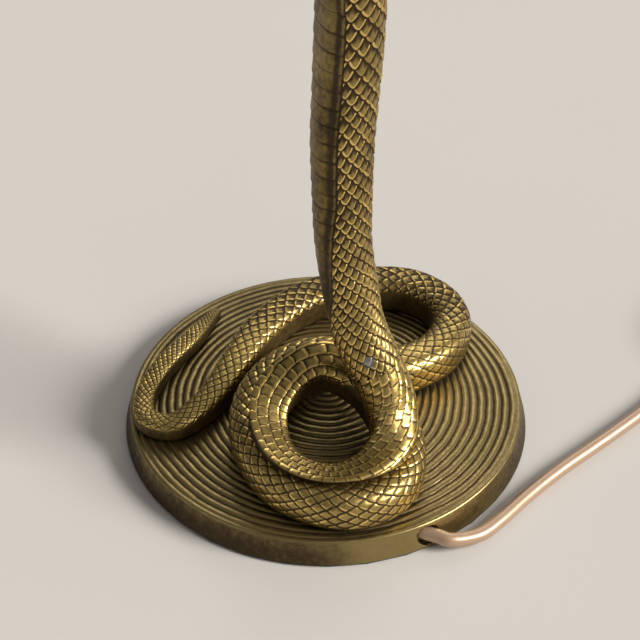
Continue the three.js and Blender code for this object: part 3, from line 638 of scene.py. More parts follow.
def centripetal(values, places):
    """A smooth curve through rows of values, at places counted in stations"""
    values = np.array(values, float)
    ends = np.vstack([2 * values[0] - values[1], values, 2 * values[-1] - values[-2]])
    first = np.minimum(np.floor(places).astype(int), len(values) - 2)
    near = (places - first)[:, None]
    a, b, c, d = (ends[first + i] for i in range(4))

    def gap(low, high):
        return np.maximum(np.linalg.norm(high - low, axis=1), 1e-8)[:, None] ** 0.5

    ab, bc, cd = gap(a, b), gap(b, c), gap(c, d)
    leave = ((b - a) / ab - (c - a) / (ab + bc) + (c - b) / bc) * bc
    reach = ((c - b) / bc - (d - b) / (bc + cd) + (d - c) / cd) * bc
    curve = b + near * leave + near ** 2 * (3 * (c - b) - 2 * leave - reach)
    return curve + near ** 3 * (2 * (b - c) + leave + reach)


def unit(rows):
    return rows / np.linalg.norm(rows, axis=1)[:, None]


STATIONS = TAIL + LOWER + UPPER + RISE + HOOD
MIDDLES = [s[:3] for s in STATIONS]
GIRTHS = [(s[3], s[4], 0) for s in STATIONS]
BACKS = [s[5] for s in STATIONS]
SHARES = np.array([row[1:] for row in STRETCHES for _ in range(row[0])])
LAST = len(STATIONS) - 1
RISES_FROM = len(TAIL) + len(LOWER) + len(UPPER) - 4

# Where each row of scales falls: rows_to counts the rows up to each of many steps along the body
steps = np.linspace(0, LAST, 6000)
line = centripetal(MIDDLES, steps)
girth = centripetal(GIRTHS, steps)
length = np.concatenate([[0], np.cumsum(np.linalg.norm(np.diff(line, axis=0), axis=1))])
long_share = np.interp(steps, range(len(STATIONS)), SHARES[:, 3])
row_long = np.minimum(long_share * (girth[:, 0] + girth[:, 1]), LONGEST_SCALE)
rows_to = np.concatenate([[0], np.cumsum(np.diff(length) / (row_long[1:] + row_long[:-1]) * 2)])


def station_at_height(z):
    """The place on the rising part of the body at a height, counted in stations"""
    rising = steps > RISES_FROM
    return float(np.interp(z, line[rising, 2], steps[rising]))


def round_section(wide, tall, power, places):
    """Points round one section at shares of its girth from the belly, their distances, the girth"""
    turn = np.linspace(-math.pi / 2, 1.5 * math.pi, 361)
    across = np.sign(np.cos(turn)) * np.abs(np.cos(turn)) ** (2 / power) * wide
    above = np.sign(np.sin(turn)) * np.abs(np.sin(turn)) ** (2 / power) * tall
    way = np.concatenate([[0], np.cumsum(np.hypot(np.diff(across), np.diff(above)))])
    at = places * way[-1]
    return np.interp(at, way, across), np.interp(at, way, above), at, way[-1]


def crowded(right, left, sides):
    """Shares of the girth from the belly, closer together where there are scales"""
    turn = np.linspace(0, 1, 721)
    from_belly = 2 * np.minimum(turn, 1 - turn)
    crowds_from = np.where(turn < 0.5, right, left) - 0.05
    dense = 1 + EXTRA_POINTS * (from_belly > crowds_from)
    grown_by = np.cumsum(dense) - dense[0]
    return np.interp(np.arange(sides) / sides * grown_by[-1], grown_by, turn)


def ramp(value, start, over):
    """0 up to start, and 1 once the value is past it by over"""
    return np.clip((value - start) / over, 0, 1)


def bell(value, middle, spread):
    """1 at the middle, and less the further off the value is"""
    return np.exp(-((value - middle) / spread) ** 2)


def tube_faces(rings, sides, mirrored=False):
    """Faces between rings of points, each next to the last, and over both ends; mirrored where
    the rings turn the other way"""
    faces = []
    for i in range(rings - 1):
        for j in range(sides):
            a, b = i * sides + j, i * sides + (j + 1) % sides
            c, d = b + sides, a + sides
            faces.append((a, d, c, b) if mirrored else (a, b, c, d))
    ends = [tuple(range(sides)), tuple(range((rings - 1) * sides, rings * sides))[::-1]]
    return faces + (ends if mirrored else [end[::-1] for end in ends])


def measured(piece, values):
    """Keeps a row of values for each measure as an attribute of the piece"""
    for label, row in zip(MEASURES, values):
        spots = piece.data.attributes.new(label, "FLOAT", "POINT")
        spots.data.foreach_set("value", row.astype(np.float32))
    return piece


def skin(name, first, last, per_row, sides):
    """The body's surface between two stations, with its own measures as attributes: rows and
    columns of scales, how far each point is scaled or scuted, the groove by the belly, and the
    painted shade in its creases"""
    low, high = np.interp([first, last], steps, rows_to)
    count = int((high - low) * per_row)
    rows = np.linspace(low, high, count + 1)
    at = np.interp(rows, rows_to, steps)
    mids = centripetal(MIDDLES, at)
    sizes = centripetal(GIRTHS, at)
    ahead = unit(centripetal(MIDDLES, np.minimum(at + 0.01, LAST))
                 - centripetal(MIDDLES, np.maximum(at - 0.01, 0)))
    side = unit(np.cross(unit(centripetal(BACKS, at)), ahead))
    up = np.cross(ahead, side)
    shares = np.array([np.interp(at, range(len(STATIONS)), column) for column in SHARES.T]).T
    points, marks = [], []
    for i in range(count + 1):
        power, right, left, _, wide_share, undercut = shares[i]
        places = crowded(right, left, sides)
        across, above, way, whole = round_section(sizes[i, 0], sizes[i, 1], power, places)
        from_belly = 2 * np.minimum(places, 1 - places)
        on_right = places < 0.5
        past = (from_belly - np.where(on_right, right, left)) * whole / 2
        scaled = ramp(past, 0, SCALES_OVER)
        under = ramp(from_belly, 0.2, 0.1) * ramp(left + 0.01 - from_belly, 0, 0.09)
        under = under * ~on_right * undercut
        height = mids[i, 2] + above * up[i, 2]
        belly = ramp(height, SCUTES_FROM, SCUTES_OVER) * (1 - scaled)
        fold = bell(past, FOLD_AT, FOLD_W) * ramp(height, FOLDS_FROM, FOLDS_OVER) * (1 - scaled)
        inwards = 1 - FOLD_DEPTH * fold
        points.append(mids[i] + np.outer(across * inwards - np.sign(across) * under, side[i])
                      + np.outer(above * inwards, up[i]))
        groove = bell(past, 0, GROOVE_W) * np.maximum(
            ramp(height, GROOVE_FROM, GROOVE_OVER), GROOVE_LEAST)
        column = (way - whole / 2) / min(wide_share * (sizes[i, 0] + sizes[i, 1]), WIDEST_SCALE)
        # Painted shade beside the folds by the scutes and under the cut-under edge
        painted_crevice_shade = np.maximum(fold * 0.9, np.clip(under, 0, 1))
        marks.append(np.stack([np.full(sides, rows[i]), column, scaled, belly, groove, painted_crevice_shade]))
    points = np.concatenate(points)
    bed = 1000 * crest(np.hypot(points[:, 0], points[:, 1]) * MM) + BED_GAP
    pressed = points[:, 2] < bed
    points[:, 2] = np.maximum(points[:, 2], bed)
    values = np.concatenate(marks, axis=1)
    values[2:, pressed] = 0
    # Painted shade where the body meets the base, fading out over BED_SHADE
    values[-1] = np.maximum(values[-1], np.clip(1 - (points[:, 2] - bed) / BED_SHADE, 0, 1))
    return measured(new_piece(name, points * MM, tube_faces(count + 1, sides), 60), values)


def reading(wire, name):
    """A wire from a piece's own attribute, in a Geometry Nodes tree"""
    return wire.node("GeometryNodeInputNamedAttribute", {"Name": name}, data_type="FLOAT")


def scale_tree():
    """Scales that overlap towards the tail, and scutes across the belly. The scales are lozenges
    in quincunx, or cells like bricks where Brick is 1. Over the last rows before the split, those
    cells sweep back and stand up like the scales of the rise."""
    place, facing, given = node_tree(
        "snake_scales", "Cut", "Line", "Lift", "Scute", "Wander", "Bulge", "Brick", "Sweep", "Darken",
        "Bare")
    column, ring = reading(place, "column"), reading(place, "row")
    scaled, scuted = reading(place, "scaled"), reading(place, "scuted")
    groove, painted_crevice_shade = reading(place, "groove"), reading(place, "painted_crevice_shade")
    brick = given["Brick"]

    # The cell that each point lies in, and where it lies there
    rising = ring.step(SPLIT_ROW - SWEPT_ROWS, SPLIT_ROW) * brick
    row = ring + (given["Sweep"] + rising * SWEEP) * column.size()
    sway = (place.noise(170, 2) - 0.5) * given["Wander"]
    swing = (place.noise(120, 2, 0.4) - 0.5) * given["Wander"]
    hand = place.noise(90, 2)
    slant_one, slant_two = row + column + sway, row - column + swing
    course = column + swing
    bond = row + sway + 0.5 * course.floor()
    along_one = slant_one + (bond - slant_one) * brick
    along_two = slant_two + (course - slant_two) * brick
    round_one = given["Bulge"] * along_two.arch()
    round_two = given["Bulge"] * along_one.arch()
    along_one, along_two = along_one + round_one, along_two + round_two * (1 - brick)
    cell = place.node("ShaderNodeCombineXYZ", {0: along_one.floor(), 1: along_two.floor()})
    chance = place.node("ShaderNodeTexWhiteNoise", {"Vector": cell})
    one, two = along_one.fraction(), along_two.fraction()
    edge = one.least(1 - one).least(two.least(1 - two))
    free = one.least(two)

    # How high each point stands on its scale or scute
    plateau = edge.step(0, given["Line"] * (0.7 + hand * 0.6))
    slope = 1 - (one + two) * 0.5
    crown = edge.step(0, 0.5)
    tilt = (chance - 0.5) * (one - two) * 0.7
    raised_edge = given["Lift"] * (slope + tilt + crown * 0.35 - 0.6)
    scale = (plateau * raised_edge - (1 - plateau) * given["Cut"]) * (1 + rising * 2)
    band = (ring + (place.noise(60, 2) - 0.5) * 0.12).fraction()
    dip = 1 - band.least(1 - band).step(0, 0.1)
    scute = given["Scute"] * ((1 - band) - 0.5) - dip * given["Scute"] * 0.9
    height = scaled * scale + scuted * scute - groove * 0.75 * MM

    # Where the patina stays, where painted shade darkens the metal, and where the metal is worn to a
    # shine
    sunk = (scaled * (1 - edge.step(given["Line"] * 0.35, given["Line"] * 1.15))).most(scuted * dip)
    # Painted shade on the end of each scale that lies under the next one
    tucked = one.most(two).step(0.55, 0.95)
    # Patina in the cuts and the groove, joined by painted shade in the creases and on the tucked
    # ends
    hollow = sunk.most(groove).most(painted_crevice_shade * 0.9).most(scaled * tucked * 0.4)
    # The smooth belly and sides are darkened: partly patina, partly painted shade
    bare = (1 - scaled) * (given["Bare"] - scuted * 0.12)
    rim = free.step(0.04, 0.14) * (1 - free.step(0.17, 0.34)) * plateau
    thin = free.step(0.02, 0.07) * (1 - free.step(0.12, 0.2)) * brick
    worn = rim * (0.25 + chance * 0.45 + hand.step(0.35, 0.6) * 0.4) + thin * (0.25 + hand * 0.5)
    # Darker higher up; painted shade on the lower body behind the lamp's axis; and the plates of the
    # bricks vary at random in tone
    raised = place.axis("Z").step(*DARKEN_HEIGHT)
    behind = place.axis("Y").step(*SHADE_BEHIND)
    tone_and_shade = (raised * given["Darken"] + (1 - worn).most(0) * brick * (0.04 + chance * 0.12)
               + behind * (1 - raised) * 0.42)
    shape = stored(given["Geometry"], "patina_and_painted_shade", (hollow.most(bare) + scaled * tone_and_shade).step(0, 1))
    shape = stored(shape, "wear_and_painted_light", scaled * worn)
    return end_tree(shifted(shape, facing, height), given["Material"])


BRAZE = len(TAIL)
CLIMB = BRAZE + len(LOWER)
SPLIT = station_at_height(57)
SPLIT_ROW = float(np.interp(SPLIT, steps, rows_to))
HOOD_JOINT = station_at_height(244)
BRAZE_SPOT = (17 * MM, -36 * MM, 66.5 * MM)
scales = scale_tree()
scaled_bronze = bronze("scaled_bronze", GOLD, 0.05, BRAZE_SPOT)
SCALE_INPUTS = {"Cut": 0.55, "Lift": 0.6, "Scute": 0.5, "Line": 0.12, "Wander": 0.22, "Bulge": 0.1,
                "Brick": 0, "Sweep": 0, "Darken": 0, "Bare": 0.62}
LENGTHS = ("Cut", "Lift", "Scute")
BRICKS = {"Cut": 0.2, "Lift": 0.15, "Line": 0.08, "Bulge": 0.08, "Brick": 1, "Wander": 0.34}
RISING = {"Lift": 0.8, "Sweep": SWEEP, "Darken": 0.34}
# Each skin's CAD node, its first and last station, its rings of points for each row of scales, the
# points in a ring, and the inputs that differ from the usual ones
SKINS = {
    "cobra_tail": ("tail_casting", 0, BRAZE, 11, 96,
                   {"Cut": 0.3, "Lift": 0.2, "Line": 0.1, "Bulge": 0.06}),
    "cobra_lower_turn": ("coil_casting", BRAZE, CLIMB, 13, 112,
                         {"Cut": 0.4, "Lift": 0.4, "Bulge": 0.06}),
    "cobra_upper_turn": ("coil_casting", CLIMB, SPLIT, 13, 112, BRICKS),
    "cobra_rise": ("rise_casting", SPLIT, HOOD_JOINT, 17, 176, RISING),
    "cobra_hood": ("hood_casting", HOOD_JOINT, LAST, 21, 300, RISING),
}


def scaled_over(piece, changes):
    """Runs the scale tree on a piece, with the inputs that differ from the usual ones"""
    values = {key: float(value) * (MM if key in LENGTHS else 1)
              for key, value in {**SCALE_INPUTS, **changes}.items()}
    return grown(piece, scales, {**values, "Material": scaled_bronze})


for name, (node, first, last, per_row, sides, changes) in SKINS.items():
    part = scaled_over(skin(name, first, last, per_row, sides), changes)
    placed(part, "lamp", "scaled_bronze", node)

# Head.
# Cast in one with the hood: a flat-topped head with brows, set eyes, a long mouth and large plates
# between the eyes, and behind it a turned boss that takes the lampholder's tube.
AHEAD = np.array([-math.cos(TURN_BACK), -math.sin(TURN_BACK), 0])
ACROSS = np.cross([0, 0, 1], AHEAD)
# Sections of the head: distance ahead, half width, half height, and height of the middle
HEAD = [
    (-9, 5, 7, 365),
    (-4, 11, 10, 366.5),
    (6, 14.6, 11.2, 369),
    (16, 15.6, 11, 371),
    (26, 13.4, 9.6, 370.5),
    (35, 10.4, 7.6, 368.5),
    (41.5, 7.6, 5.4, 367),
    (44.2, 4.6, 3.2, 366.5),
    (45, 1.2, 1, 366.3),
]
HEAD_ROUND = 2.3
HEAD_SCALE_L = 5.4
HEAD_SCALE_W = 4.6
PLATES_FROM = 14
PLATE_SEAMS = (16, 23.5, 31.5, 38)
LIP_PLATE_L = 4.4
EYE_AHEAD = 27
EYE_ASIDE = 11.6
EYE_Z = 373.2
EYE_R = 2.7
NOSTRIL_AHEAD = 41.2
TUBE_R = 5.3
BOSS_TOP = 384


def head():
    """The head with its own measures as attributes, as on the body, ready for the scale tree"""
    count, sides = 170, 150
    rings = centripetal(HEAD, np.linspace(0, len(HEAD) - 1, count + 1))
    points, marks = [], []
    for forward, wide, tall, z in rings:
        across, above, way, whole = round_section(wide, tall, HEAD_ROUND, np.arange(sides) / sides)
        out, high = np.abs(across) / wide, above / tall  # shares of the half width and height
        brow = 1.5 * bell(forward, EYE_AHEAD, 6) * bell(out, 0.62, 0.2) * (high > 0)
        socket = 1.1 * bell(forward, EYE_AHEAD, 3.4) * bell(high, 0.22, 0.3) * (out > 0.7)
        cheek = 0.9 * bell(forward, 10, 7) * bell(high, -0.25, 0.4)
        gape = -0.3 + 0.16 * ramp(20 - forward, 0, 12)
        mouth = bell(high, gape, 0.055) * ramp(forward, 9, 3)
        lip = 0.5 * bell(high, gape + 0.16, 0.1) * ramp(forward, 9, 6)
        nostril = bell(forward, NOSTRIL_AHEAD, 0.9) * bell(out, 0.6, 0.12) * bell(high, 0.45, 0.25)
        front = ramp(forward, PLATES_FROM, 2)
        seams = [bell(forward, seam, 0.4) for seam in PLATE_SEAMS] + [bell(across, 0, 0.35)]
        seams = np.max(np.broadcast_arrays(*seams), axis=0)
        plates = 0.55 * front * seams * np.clip((high - 0.25) * 6, 0, 1)
        lips = bell(high, gape + 0.19, 0.11) + bell(high, gape - 0.19, 0.11)
        lips = 0.5 * lips * bell((forward / LIP_PLATE_L) % 1, 0.5, 0.09) * ramp(forward, 11, 3)
        swell = (cheek - socket) / max(wide, 4)
        points.append(AHEAD * forward + np.outer(across * (1 + swell), ACROSS)
                      + np.outer(above + z + brow + lip * 0.3, UP))
        row = np.full(sides, -forward / HEAD_SCALE_L)
        column = (way - whole / 2) / HEAD_SCALE_W
        scaled = (1 - front) * np.clip((high + 0.55) * 5, 0, 1)
        grooves = np.maximum.reduce([mouth, nostril * 1.3, plates, lips])
        # The last measure is painted shade in the eye sockets
        marks.append(np.stack([row, column, scaled, 0 * way, grooves, 0.5 * socket]))
    made = new_piece("cobra_head", np.concatenate(points) * MM, tube_faces(count + 1, sides), 60)
    return measured(made, np.concatenate(marks, axis=1))


def millimetres(points, z=0):
    """Points of a profile in metres, from ones in millimetres over a height"""
    return [(r * MM, (z + h) * MM) for r, h in points]


def eye(side):
    """One round eye, set under the brow"""
    place = AHEAD * EYE_AHEAD + side * EYE_ASIDE * ACROSS + np.array([0, 0, EYE_Z])
    dome = [(EYE_R * math.sin(t), EYE_R * math.cos(t)) for t in np.linspace(0, math.pi, 20)]
    made = turned(f"cobra_eye_{'right' if side > 0 else 'left'}", millimetres(dome), 32)
    made.data.transform(Matrix.Translation(Vector(place) * MM))
    return made


cobra_head = head()
scaled_over(cobra_head, {"Cut": 0.5, "Line": 0.1, "Scute": 0, "Wander": 0.12, "Darken": 0.2,
                         "Bare": 0.34})
placed(cobra_head, "lamp", "scaled_bronze", "hood_casting")

boss = turned("cobra_boss", millimetres([
    (TUBE_R, 366), (9, 366), (9, 379.4), (8.6, 379.9), (8.6, 380.5), (9, 381), (9, 383),
    (8.3, BOSS_TOP), (TUBE_R, BOSS_TOP)]), 64)
placed(boss, "lamp", "scaled_bronze", coat=scaled_bronze)

polished_bronze = bronze("polished_bronze", (0.2, 0.13, 0.05), -0.3)
for side in (1, -1):
    placed(eye(side), "lamp", "scaled_bronze", coat=polished_bronze)

# Fixings inside the castings.
# Plated screws pull the tail and the coil down on the base, and a brass tube with its nut and
# washer clamps the coil where the cores go up through it.


def turned_brass():
    made, place, drive = material("turned_brass", {"Metallic": 1.0})
    cloud = place.noise(80, 4)
    lines = place.stretched((1, 1, 14)).noise(160)
    drive(Base_Color=cloud.blend((0.52, 0.36, 0.13, 1), (0.68, 0.50, 0.22, 1)),
          Roughness=0.22 + cloud * 0.16 + lines * 0.08, Normal=lines.bump(0.04 * MM, 0.5))
    return made


brass = turned_brass()
dress(steel, "tail_screw_1", "tail_screw_2", "tail_screw_3", "coil_screw_1", "coil_screw_2")
dress(steel, "clamp_washer", "cord_clip", "cord_clip_screw")
dress(brass, "clamp_tube", "clamp_nut", "holder_tube")

# Lampholder.
# A screw lampholder for a 27 mm bulb: a dark bronze cap on the threaded tube, a black moulded body
# with a coarse outer thread, two fluted rings for a shade, and a push-bar switch across the cap.
CAP_Z = 388.6
BAR_Z = CAP_Z + 13
BAR_BORE = 2.3
NUT_R = 8
NUT_LOW = 384.3
NUT_TOP = 388.3
BODY_Z = 409.9
BODY_TOP = BODY_Z + 34
BODY_R = 19.6
BODY_EDGE_R = BODY_R - 0.6
BORE_R = 15.2
BODY_PITCH = 2.6
BODY_THREAD = 0.8
RING_Z = {"lower": 417.9, "upper": 429.9}
RING_H = 9
RING_R = 28
FLUTES = 40
FLUTE_DEPTH = 0.8
THREAD_END = 1.2 * MM


def moulded_black():
    made, place, drive = material("moulded_black", {"Coat Weight": 0.2, "Coat Roughness": 0.25})
    grain = place.noise(900)
    mixed = place.noise(60, 4) * 0.5 + grain * 0.5
    drive(Base_Color=mixed.blend((0.012, 0.011, 0.01, 1), (0.034, 0.029, 0.025, 1)),
          Roughness=0.3 + grain * 0.2, Normal=grain.bump(0.05 * MM, 0.4))
    return made


def glazed_white():
    made, place, drive = material("glazed_white", {"Coat Weight": 0.6})
    cloud = place.noise(90, 4)
    drive(Base_Color=cloud.blend((0.66, 0.63, 0.56, 1), (0.76, 0.74, 0.69, 1)),
          Roughness=0.25 + cloud * 0.2, Normal=cloud.bump(0.1 * MM, 0.3))
    return made


def from_axis(place, facing):
    """Wires for the way outwards from the lamp's axis, for the turn about it, and for how far the
    surface faces outwards"""
    out = place.level().vectors("NORMALIZE")
    turn = place.maths("ARCTAN2", place.axis("Y"), place.axis("X")) / (2 * math.pi)
    return out, turn, facing.vectors("DOT_PRODUCT", out, "Value").step(0.4, 0.7)


def thread_tree():
    """A helical thread cut into the outside of a turned piece about the lamp's axis"""
    place, facing, given = node_tree("cut_thread", "Pitch", "Depth", "From", "To")
    out, turn, outside = from_axis(place, facing)
    z = place.axis("Z")
    dip = 0.5 + 0.5 * (z / given["Pitch"] + turn).fraction().wave()
    ends = (z - given["From"]).step(0, THREAD_END) * (given["To"] - z).step(0, THREAD_END)
    cut = dip * ends * outside
    shape = stored(given["Geometry"], "patina_and_painted_shade", cut * 0.8)
    return end_tree(shifted(shape, out, cut * given["Depth"] * -1), given["Material"])


def flute_tree():
    """Even flutes round the rim of a ring, for the fingers"""
    place, facing, given = node_tree("fluted_rim", "Flutes", "Depth")
    out, turn, outside = from_axis(place, facing)
    cut = (turn * given["Flutes"]).wave().step(0.1, 1) * outside
    shape = shifted(given["Geometry"], out, cut * given["Depth"] * -1)
    return end_tree(shape, given["Material"])


def threaded(piece, pitch, depth, low, high, coat):
    """Cuts a thread into a piece between two heights in millimetres"""
    return grown(piece, thread, {"Pitch": pitch * MM, "Depth": depth * MM, "From": low * MM,
                                 "To": high * MM, "Material": coat})


thread = thread_tree()
black = moulded_black()
dress(glazed_white(), "holder_block")
dress(brass, "centre_contact", "side_contact")

cap = turned("holder_cap_shell", millimetres([
    (TUBE_R, 0), (13.6, 0), (14.2, 0.4), (15.6, 1.8), (20.1, 6.6), (20.5, 7.6), (20.5, 9.6),
    (20.1, 9.9), (20.1, 10.4), (20.5, 10.7), (20.5, 18.6), (20.1, 18.9), (20.1, 19.4), (20.5, 19.7),
    (20.5, 20.6), (20.2, 21), (18.9, 21), (18.9, 7.6), (13.4, 1.6), (TUBE_R, 1.6)], CAP_Z))
drilled(cap, BAR_BORE * MM, 30 * MM, Vector((0, 0, BAR_Z * MM)), math.pi / 2)
cap.data.shade_smooth()
cap.data.set_sharp_from_angle(angle=math.radians(35))
dark_bronze = bronze("dark_bronze", (0.2, 0.15, 0.08), 0.2)
placed(cap, "lamp", "dark_bronze", "holder_cap", coat=dark_bronze)

bar = turned("switch_bar_rod", millimetres([
    (0, -27.5), (1.4, -27.5), (1.9, -27.1), (2, -26.5), (2, 21.5), (1.9, 22.1), (1.4, 22.5),
    (0, 22.5)]), 40)
bar.data.transform(Matrix.Translation((0, 0, BAR_Z * MM)) @ Matrix.Rotation(-math.pi / 2, 4, "X"))
placed(bar, "switch", "holder_black", "switch_bar", coat=black)

rows = np.linspace(BODY_Z + 0.8, BODY_TOP - 0.8, 130)
body = turned("holder_body_shell", millimetres([
    (BORE_R, BODY_Z), (BODY_EDGE_R, BODY_Z), *[(BODY_R, z) for z in rows], (BODY_EDGE_R, BODY_TOP),
    (BORE_R, BODY_TOP)]))
threaded(body, BODY_PITCH, BODY_THREAD, BODY_Z + 1, BODY_TOP - 1, black)
placed(body, "lamp", "holder_black", "holder_body")

nut = turned("holder_nut_hex", millimetres([
    (TUBE_R, NUT_LOW), (NUT_R, NUT_LOW), (NUT_R, NUT_TOP), (TUBE_R, NUT_TOP)]), 6, crease=20)
edges = nut.modifiers.new("edges", "BEVEL")
edges.width = 0.3 * MM
edges.segments = 2
placed(nut, "lamp", "brass", "holder_nut", coat=brass)

flutes = flute_tree()
for which, low in RING_Z.items():
    ring = turned(f"shade_ring_{which}_fluted", millimetres([
        (19.9, 0.4), (20.3, 0), (26.8, 0), (27.6, 0.3), (RING_R, 1), (RING_R, 3), (RING_R, 6),
        (RING_R, 8), (27.6, 8.7), (26.8, RING_H), (20.3, RING_H), (19.9, 8.6)], low), FLUTES * 9)
    grown(ring, flutes, {"Flutes": float(FLUTES), "Depth": FLUTE_DEPTH * MM, "Material": black})
    placed(ring, f"ring_{which}", "holder_black", f"shade_ring_{which}")

# Bulb.
# A round opal glass bulb, cemented into a plated steel screw cap that has a black glass insulator
# and a brass contact at its foot.
BULB_Z = 421.7
BULB_TOP = 526.7
BULB_R = 30
BULB_WALL = 0.9
NECK_R = 11.8
NECK_LOW = BULB_Z + 20
NECK_TOP = BULB_Z + 28
THREAD_R = 13.2
BULB_PITCH = 3.6
BULB_THREAD = 0.75


def bulb_profile(wall):
    """The bulb's outline from neck to top: a straight neck, a curve out, then a sphere"""
    middle = BULB_TOP - BULB_R
    start = math.radians(-40)
    first = np.array([NECK_R - wall, NECK_TOP])
    last = np.array([(BULB_R - wall) * math.cos(start), middle + (BULB_R - wall) * math.sin(start)])
    lean = np.array([-math.sin(start), math.cos(start)])
    pulls = [first, first + (0, 10), last - 9 * lean, last]
    t = np.linspace(0, 1, 16)[:, None]
    curve = ((1 - t) ** 3 * pulls[0] + 3 * t * (1 - t) ** 2 * pulls[1]
             + 3 * t ** 2 * (1 - t) * pulls[2] + t ** 3 * pulls[3])
    turns = np.linspace(start, math.pi / 2, 40)[1:-1]
    sphere = [((BULB_R - wall) * math.cos(a), middle + (BULB_R - wall) * math.sin(a)) for a in turns]
    return [(NECK_R - wall, NECK_LOW)] + curve.tolist() + sphere + [(0, BULB_TOP - wall)]


def opal_glass():
    """White glass, a little brighter towards the top"""
    made, place, drive = material("opal_glass", {"Coat Weight": 0.5, "Coat Roughness": 0.05,
                                                 "Subsurface Weight": 0.15})
    cloud = place.noise(25)
    tint = place.axis("Z").step(0.44, 0.49) * 0.8 + cloud * 0.2
    drive(Base_Color=tint.blend((0.62, 0.6, 0.55, 1), (0.80, 0.79, 0.76, 1)),
          Roughness=0.1 + cloud * 0.08)
    return made


glass = turned("bulb_opal", millimetres(bulb_profile(0)[::-1] + bulb_profile(BULB_WALL)))
placed(glass, "bulb", "bulb_glass", "bulb_glass", coat=opal_glass())

rows = np.linspace(BULB_Z + 5.6, BULB_Z + 25.4, 90)
shell = turned("bulb_screw_cap", millimetres([
    (0, BULB_Z), (5.5, BULB_Z), (12.6, BULB_Z + 4.7), *[(THREAD_R, z) for z in rows],
    (12.9, BULB_Z + 26), (12.4, BULB_Z + 26), (12.4, BULB_Z + 6), (5, BULB_Z + 1.2),
    (0, BULB_Z + 1.2)]))
threaded(shell, BULB_PITCH, BULB_THREAD, BULB_Z + 6, BULB_Z + 22, steel)
placed(shell, "bulb", "steel", "bulb_cap")

insulator = turned("bulb_insulator", millimetres([
    (0, -0.15), (5.6, -0.15), (9.8, 2.5), (9.4, 3), (0, 0.6)], BULB_Z), 64)
placed(insulator, "bulb", "holder_black", coat=black)

foot = turned("bulb_foot_contact", millimetres([
    (0, 419.4), (2.2, 419.5), (3.9, 420.1), (4.5, 420.9), (4.5, 421.4), (0, 421.4)]), 40)
placed(foot, "bulb", "brass", "bulb_foot", coat=brass)

# Cord.
# Round flexible cord with a glossy rose-beige sheath, six millimetres thick. It leaves the hole in
# the base, runs off to the right, and its spare length lies in a two-layer coil with its plug.
CORD_MM = 3
CORD_R = CORD_MM * MM
HEADING = Vector((math.cos(math.radians(-21)), math.sin(math.radians(-21)), 0))
EXIT = hole_at + 3 * MM * HEADING
COIL_X, COIL_Y = 206, 47
COIL_R = 46
COIL_PITCH = 6.5
COIL_TURNS = 3.5
COIL_STEPS = 24
LYING = 3.1
exit_mm = EXIT * 1000
FREE = [
    tuple(exit_mm),
    (exit_mm.x + 4 * HEADING.x, exit_mm.y + 4 * HEADING.y, 5.6),
    (56, -72.8, 4.2),
    (63, -69, 3.3),
    *[(x, y, LYING) for x, y in [
        (71, -61), (79.5, -51), (89, -40.5), (99, -30.5), (110, -20.5), (121.5, -10), (132.5, 0.5),
        (143, 11), (152, 21), (158, 31)]],
    (COIL_X - COIL_R, COIL_Y - 10.3, CORD_MM),
    (COIL_X - COIL_R, COIL_Y - 6.3, CORD_MM),
]


def coil_points():
    """Two layers of turns, wound in and out again clockwise, with the climb between them"""
    total = 2 * COIL_TURNS + 0.5
    wound = np.linspace(0, total, round(total * COIL_STEPS) + 1)
    inner = COIL_TURNS + 0.25
    radius = COIL_R - COIL_PITCH * np.where(wound < inner, wound, total - wound)
    rise = ramp(wound, COIL_TURNS, 0.5)
    climb = rise * rise * (3 - 2 * rise)
    turn = math.pi - 2 * math.pi * wound
    return np.stack([COIL_X + radius * np.cos(turn), COIL_Y + radius * np.sin(turn),
                     CORD_MM + climb * COIL_PITCH], 1).tolist()


TOP_X, TOP_Y, TOP_Z = COIL_X + COIL_R, COIL_Y - 6, CORD_MM + COIL_PITCH
PLUG_Z = 7
CORD_TAIL = [
    (TOP_X, TOP_Y, TOP_Z),
    (TOP_X, TOP_Y - 9, TOP_Z - 0.9),
    (TOP_X + 0.5, TOP_Y - 20, TOP_Z - 3.9),
    (TOP_X + 0.5, TOP_Y - 31, TOP_Z - 4.2),
    (TOP_X, TOP_Y - 40, 6.8),
    (TOP_X, TOP_Y - 46, PLUG_Z),
]
route = FREE + coil_points() + CORD_TAIL
route_line = centripetal(route, np.linspace(0, len(route) - 1, 1400)) * MM


def cord_sheath():
    made, place, drive = material("cord_sheath", {"Coat Weight": 0.5, "Coat Roughness": 0.15})
    cloud = place.noise(30)
    grain = place.noise(700)
    mixed = cloud * 0.6 + grain * 0.4
    drive(Base_Color=mixed.blend((0.38, 0.245, 0.155, 1), (0.52, 0.36, 0.245, 1)),
          Metallic=0.25 + cloud * 0.3, Roughness=0.32 + grain * 0.14,
          Normal=grain.bump(0.05 * MM, 0.35))
    return made


def insulation(name, low, high):
    made, place, drive = material(name, {"Coat Weight": 0.2})
    grain = place.noise(500)
    drive(Base_Color=grain.blend((*low, 1), (*high, 1)), Roughness=0.3 + grain * 0.15)
    return made


def round_cord(name, places):
    """A round cord along points in metres"""
    curve = bpy.data.curves.new(name, "CURVE")
    curve.dimensions = "3D"
    curve.bevel_depth = CORD_R
    curve.bevel_resolution = 6
    curve.use_fill_caps = True
    spline = curve.splines.new("POLY")
    spline.points.add(len(places) - 1)
    spline.points.foreach_set("co", np.column_stack([places, np.ones(len(places))]).ravel())
    spline.use_smooth = True
    made = bpy.data.objects.new(name, curve)
    bpy.context.collection.objects.link(made)
    return made


sheath = cord_sheath()
dress(insulation("brown_core", (0.05, 0.022, 0.01), (0.08, 0.035, 0.015)), "core_live")
dress(insulation("blue_core", (0.012, 0.04, 0.13), (0.02, 0.06, 0.2)), "core_neutral")

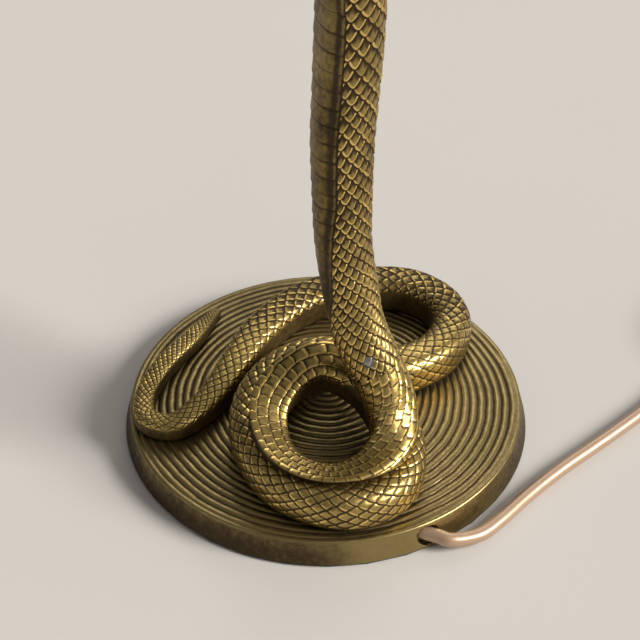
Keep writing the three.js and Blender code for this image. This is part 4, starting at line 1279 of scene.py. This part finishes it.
hole_mm = hole_at * 1000
inside = [hole_mm - 29 * HEADING, hole_mm - 19 * HEADING, hole_mm - 9 * HEADING, hole_mm, exit_mm]
ENTRY = [(p.x, p.y, z) for p, z in zip(inside, (6.8, 6.8, 6.1, 6, 6))]
entry_line = centripetal(ENTRY + FREE[1:3], np.linspace(0, len(ENTRY) - 0.98, 60)) * MM
entry = round_cord("cord_in_base", entry_line)
placed(entry, "lamp", "sheath", "cord_entry", coat=sheath)

cord = round_cord("supply_cord", route_line)
placed(cord, "lamp", "sheath", "cord_free", "cord_coil", "cord_tail", coat=sheath)

# Plug.
# A moulded two-pin plug in the cord's colour, with a tapered and grooved strain relief and round
# brass pins pressed into it.
PLUG_Y = CORD_TAIL[-1][1] - 0.3
RELIEF_L = 20
RIB_PITCH = 3.2
RIB_DEPTH = 0.7
PLUG_L = 32
PLUG_END = RELIEF_L + PLUG_L
PLUG_HALF_W = 17.5
PLUG_HALF_T = 7


def plug():
    """The plug's body in sections from the cord to the face that the pins stand on: the distance
    from the cord, half width, half thickness and squareness of each"""
    marks = [(0, 3.9, 3.9, 2), (RELIEF_L, 5.6, 5.4, 2), (RELIEF_L + 3, 10, 6.6, 2.6),
             (RELIEF_L + 10, PLUG_HALF_W, PLUG_HALF_T, 3.6),
             (PLUG_END - 1.2, PLUG_HALF_W, PLUG_HALF_T, 4),
             (PLUG_END - 0.3, PLUG_HALF_W - 0.4, PLUG_HALF_T - 0.4, 4),
             (PLUG_END, PLUG_HALF_W - 1.2, PLUG_HALF_T - 1.2, 4)]
    at, *kinds = zip(*marks)
    sides = 64
    reach = np.unique(np.concatenate([np.linspace(0, RELIEF_L, 81), at,
                                      np.linspace(RELIEF_L, PLUG_END, 40)]))
    points = []
    for y in reach:
        wide, tall, power = (np.interp(y, at, kind) for kind in kinds)
        ribbed = 1.5 < y < RELIEF_L - 1
        slot = RIB_DEPTH * max(0, math.sin(2 * math.pi * y / RIB_PITCH)) ** 2 * ribbed
        across, above, *_ = round_section(wide - slot, tall - slot, power, np.arange(sides) / sides)
        points += [(TOP_X + a, PLUG_Y - y, PLUG_Z + b) for a, b in zip(across, above)]
    faces = tube_faces(len(reach), sides, mirrored=True)
    return new_piece("plug_moulded", np.array(points) * MM, faces, 40)


plug_shell = plug()
placed(plug_shell, "lamp", "sheath", "plug_body", coat=sheath)
dress(brass, "plug_pin_1", "plug_pin_2")

bpy.context.view_layer.update()
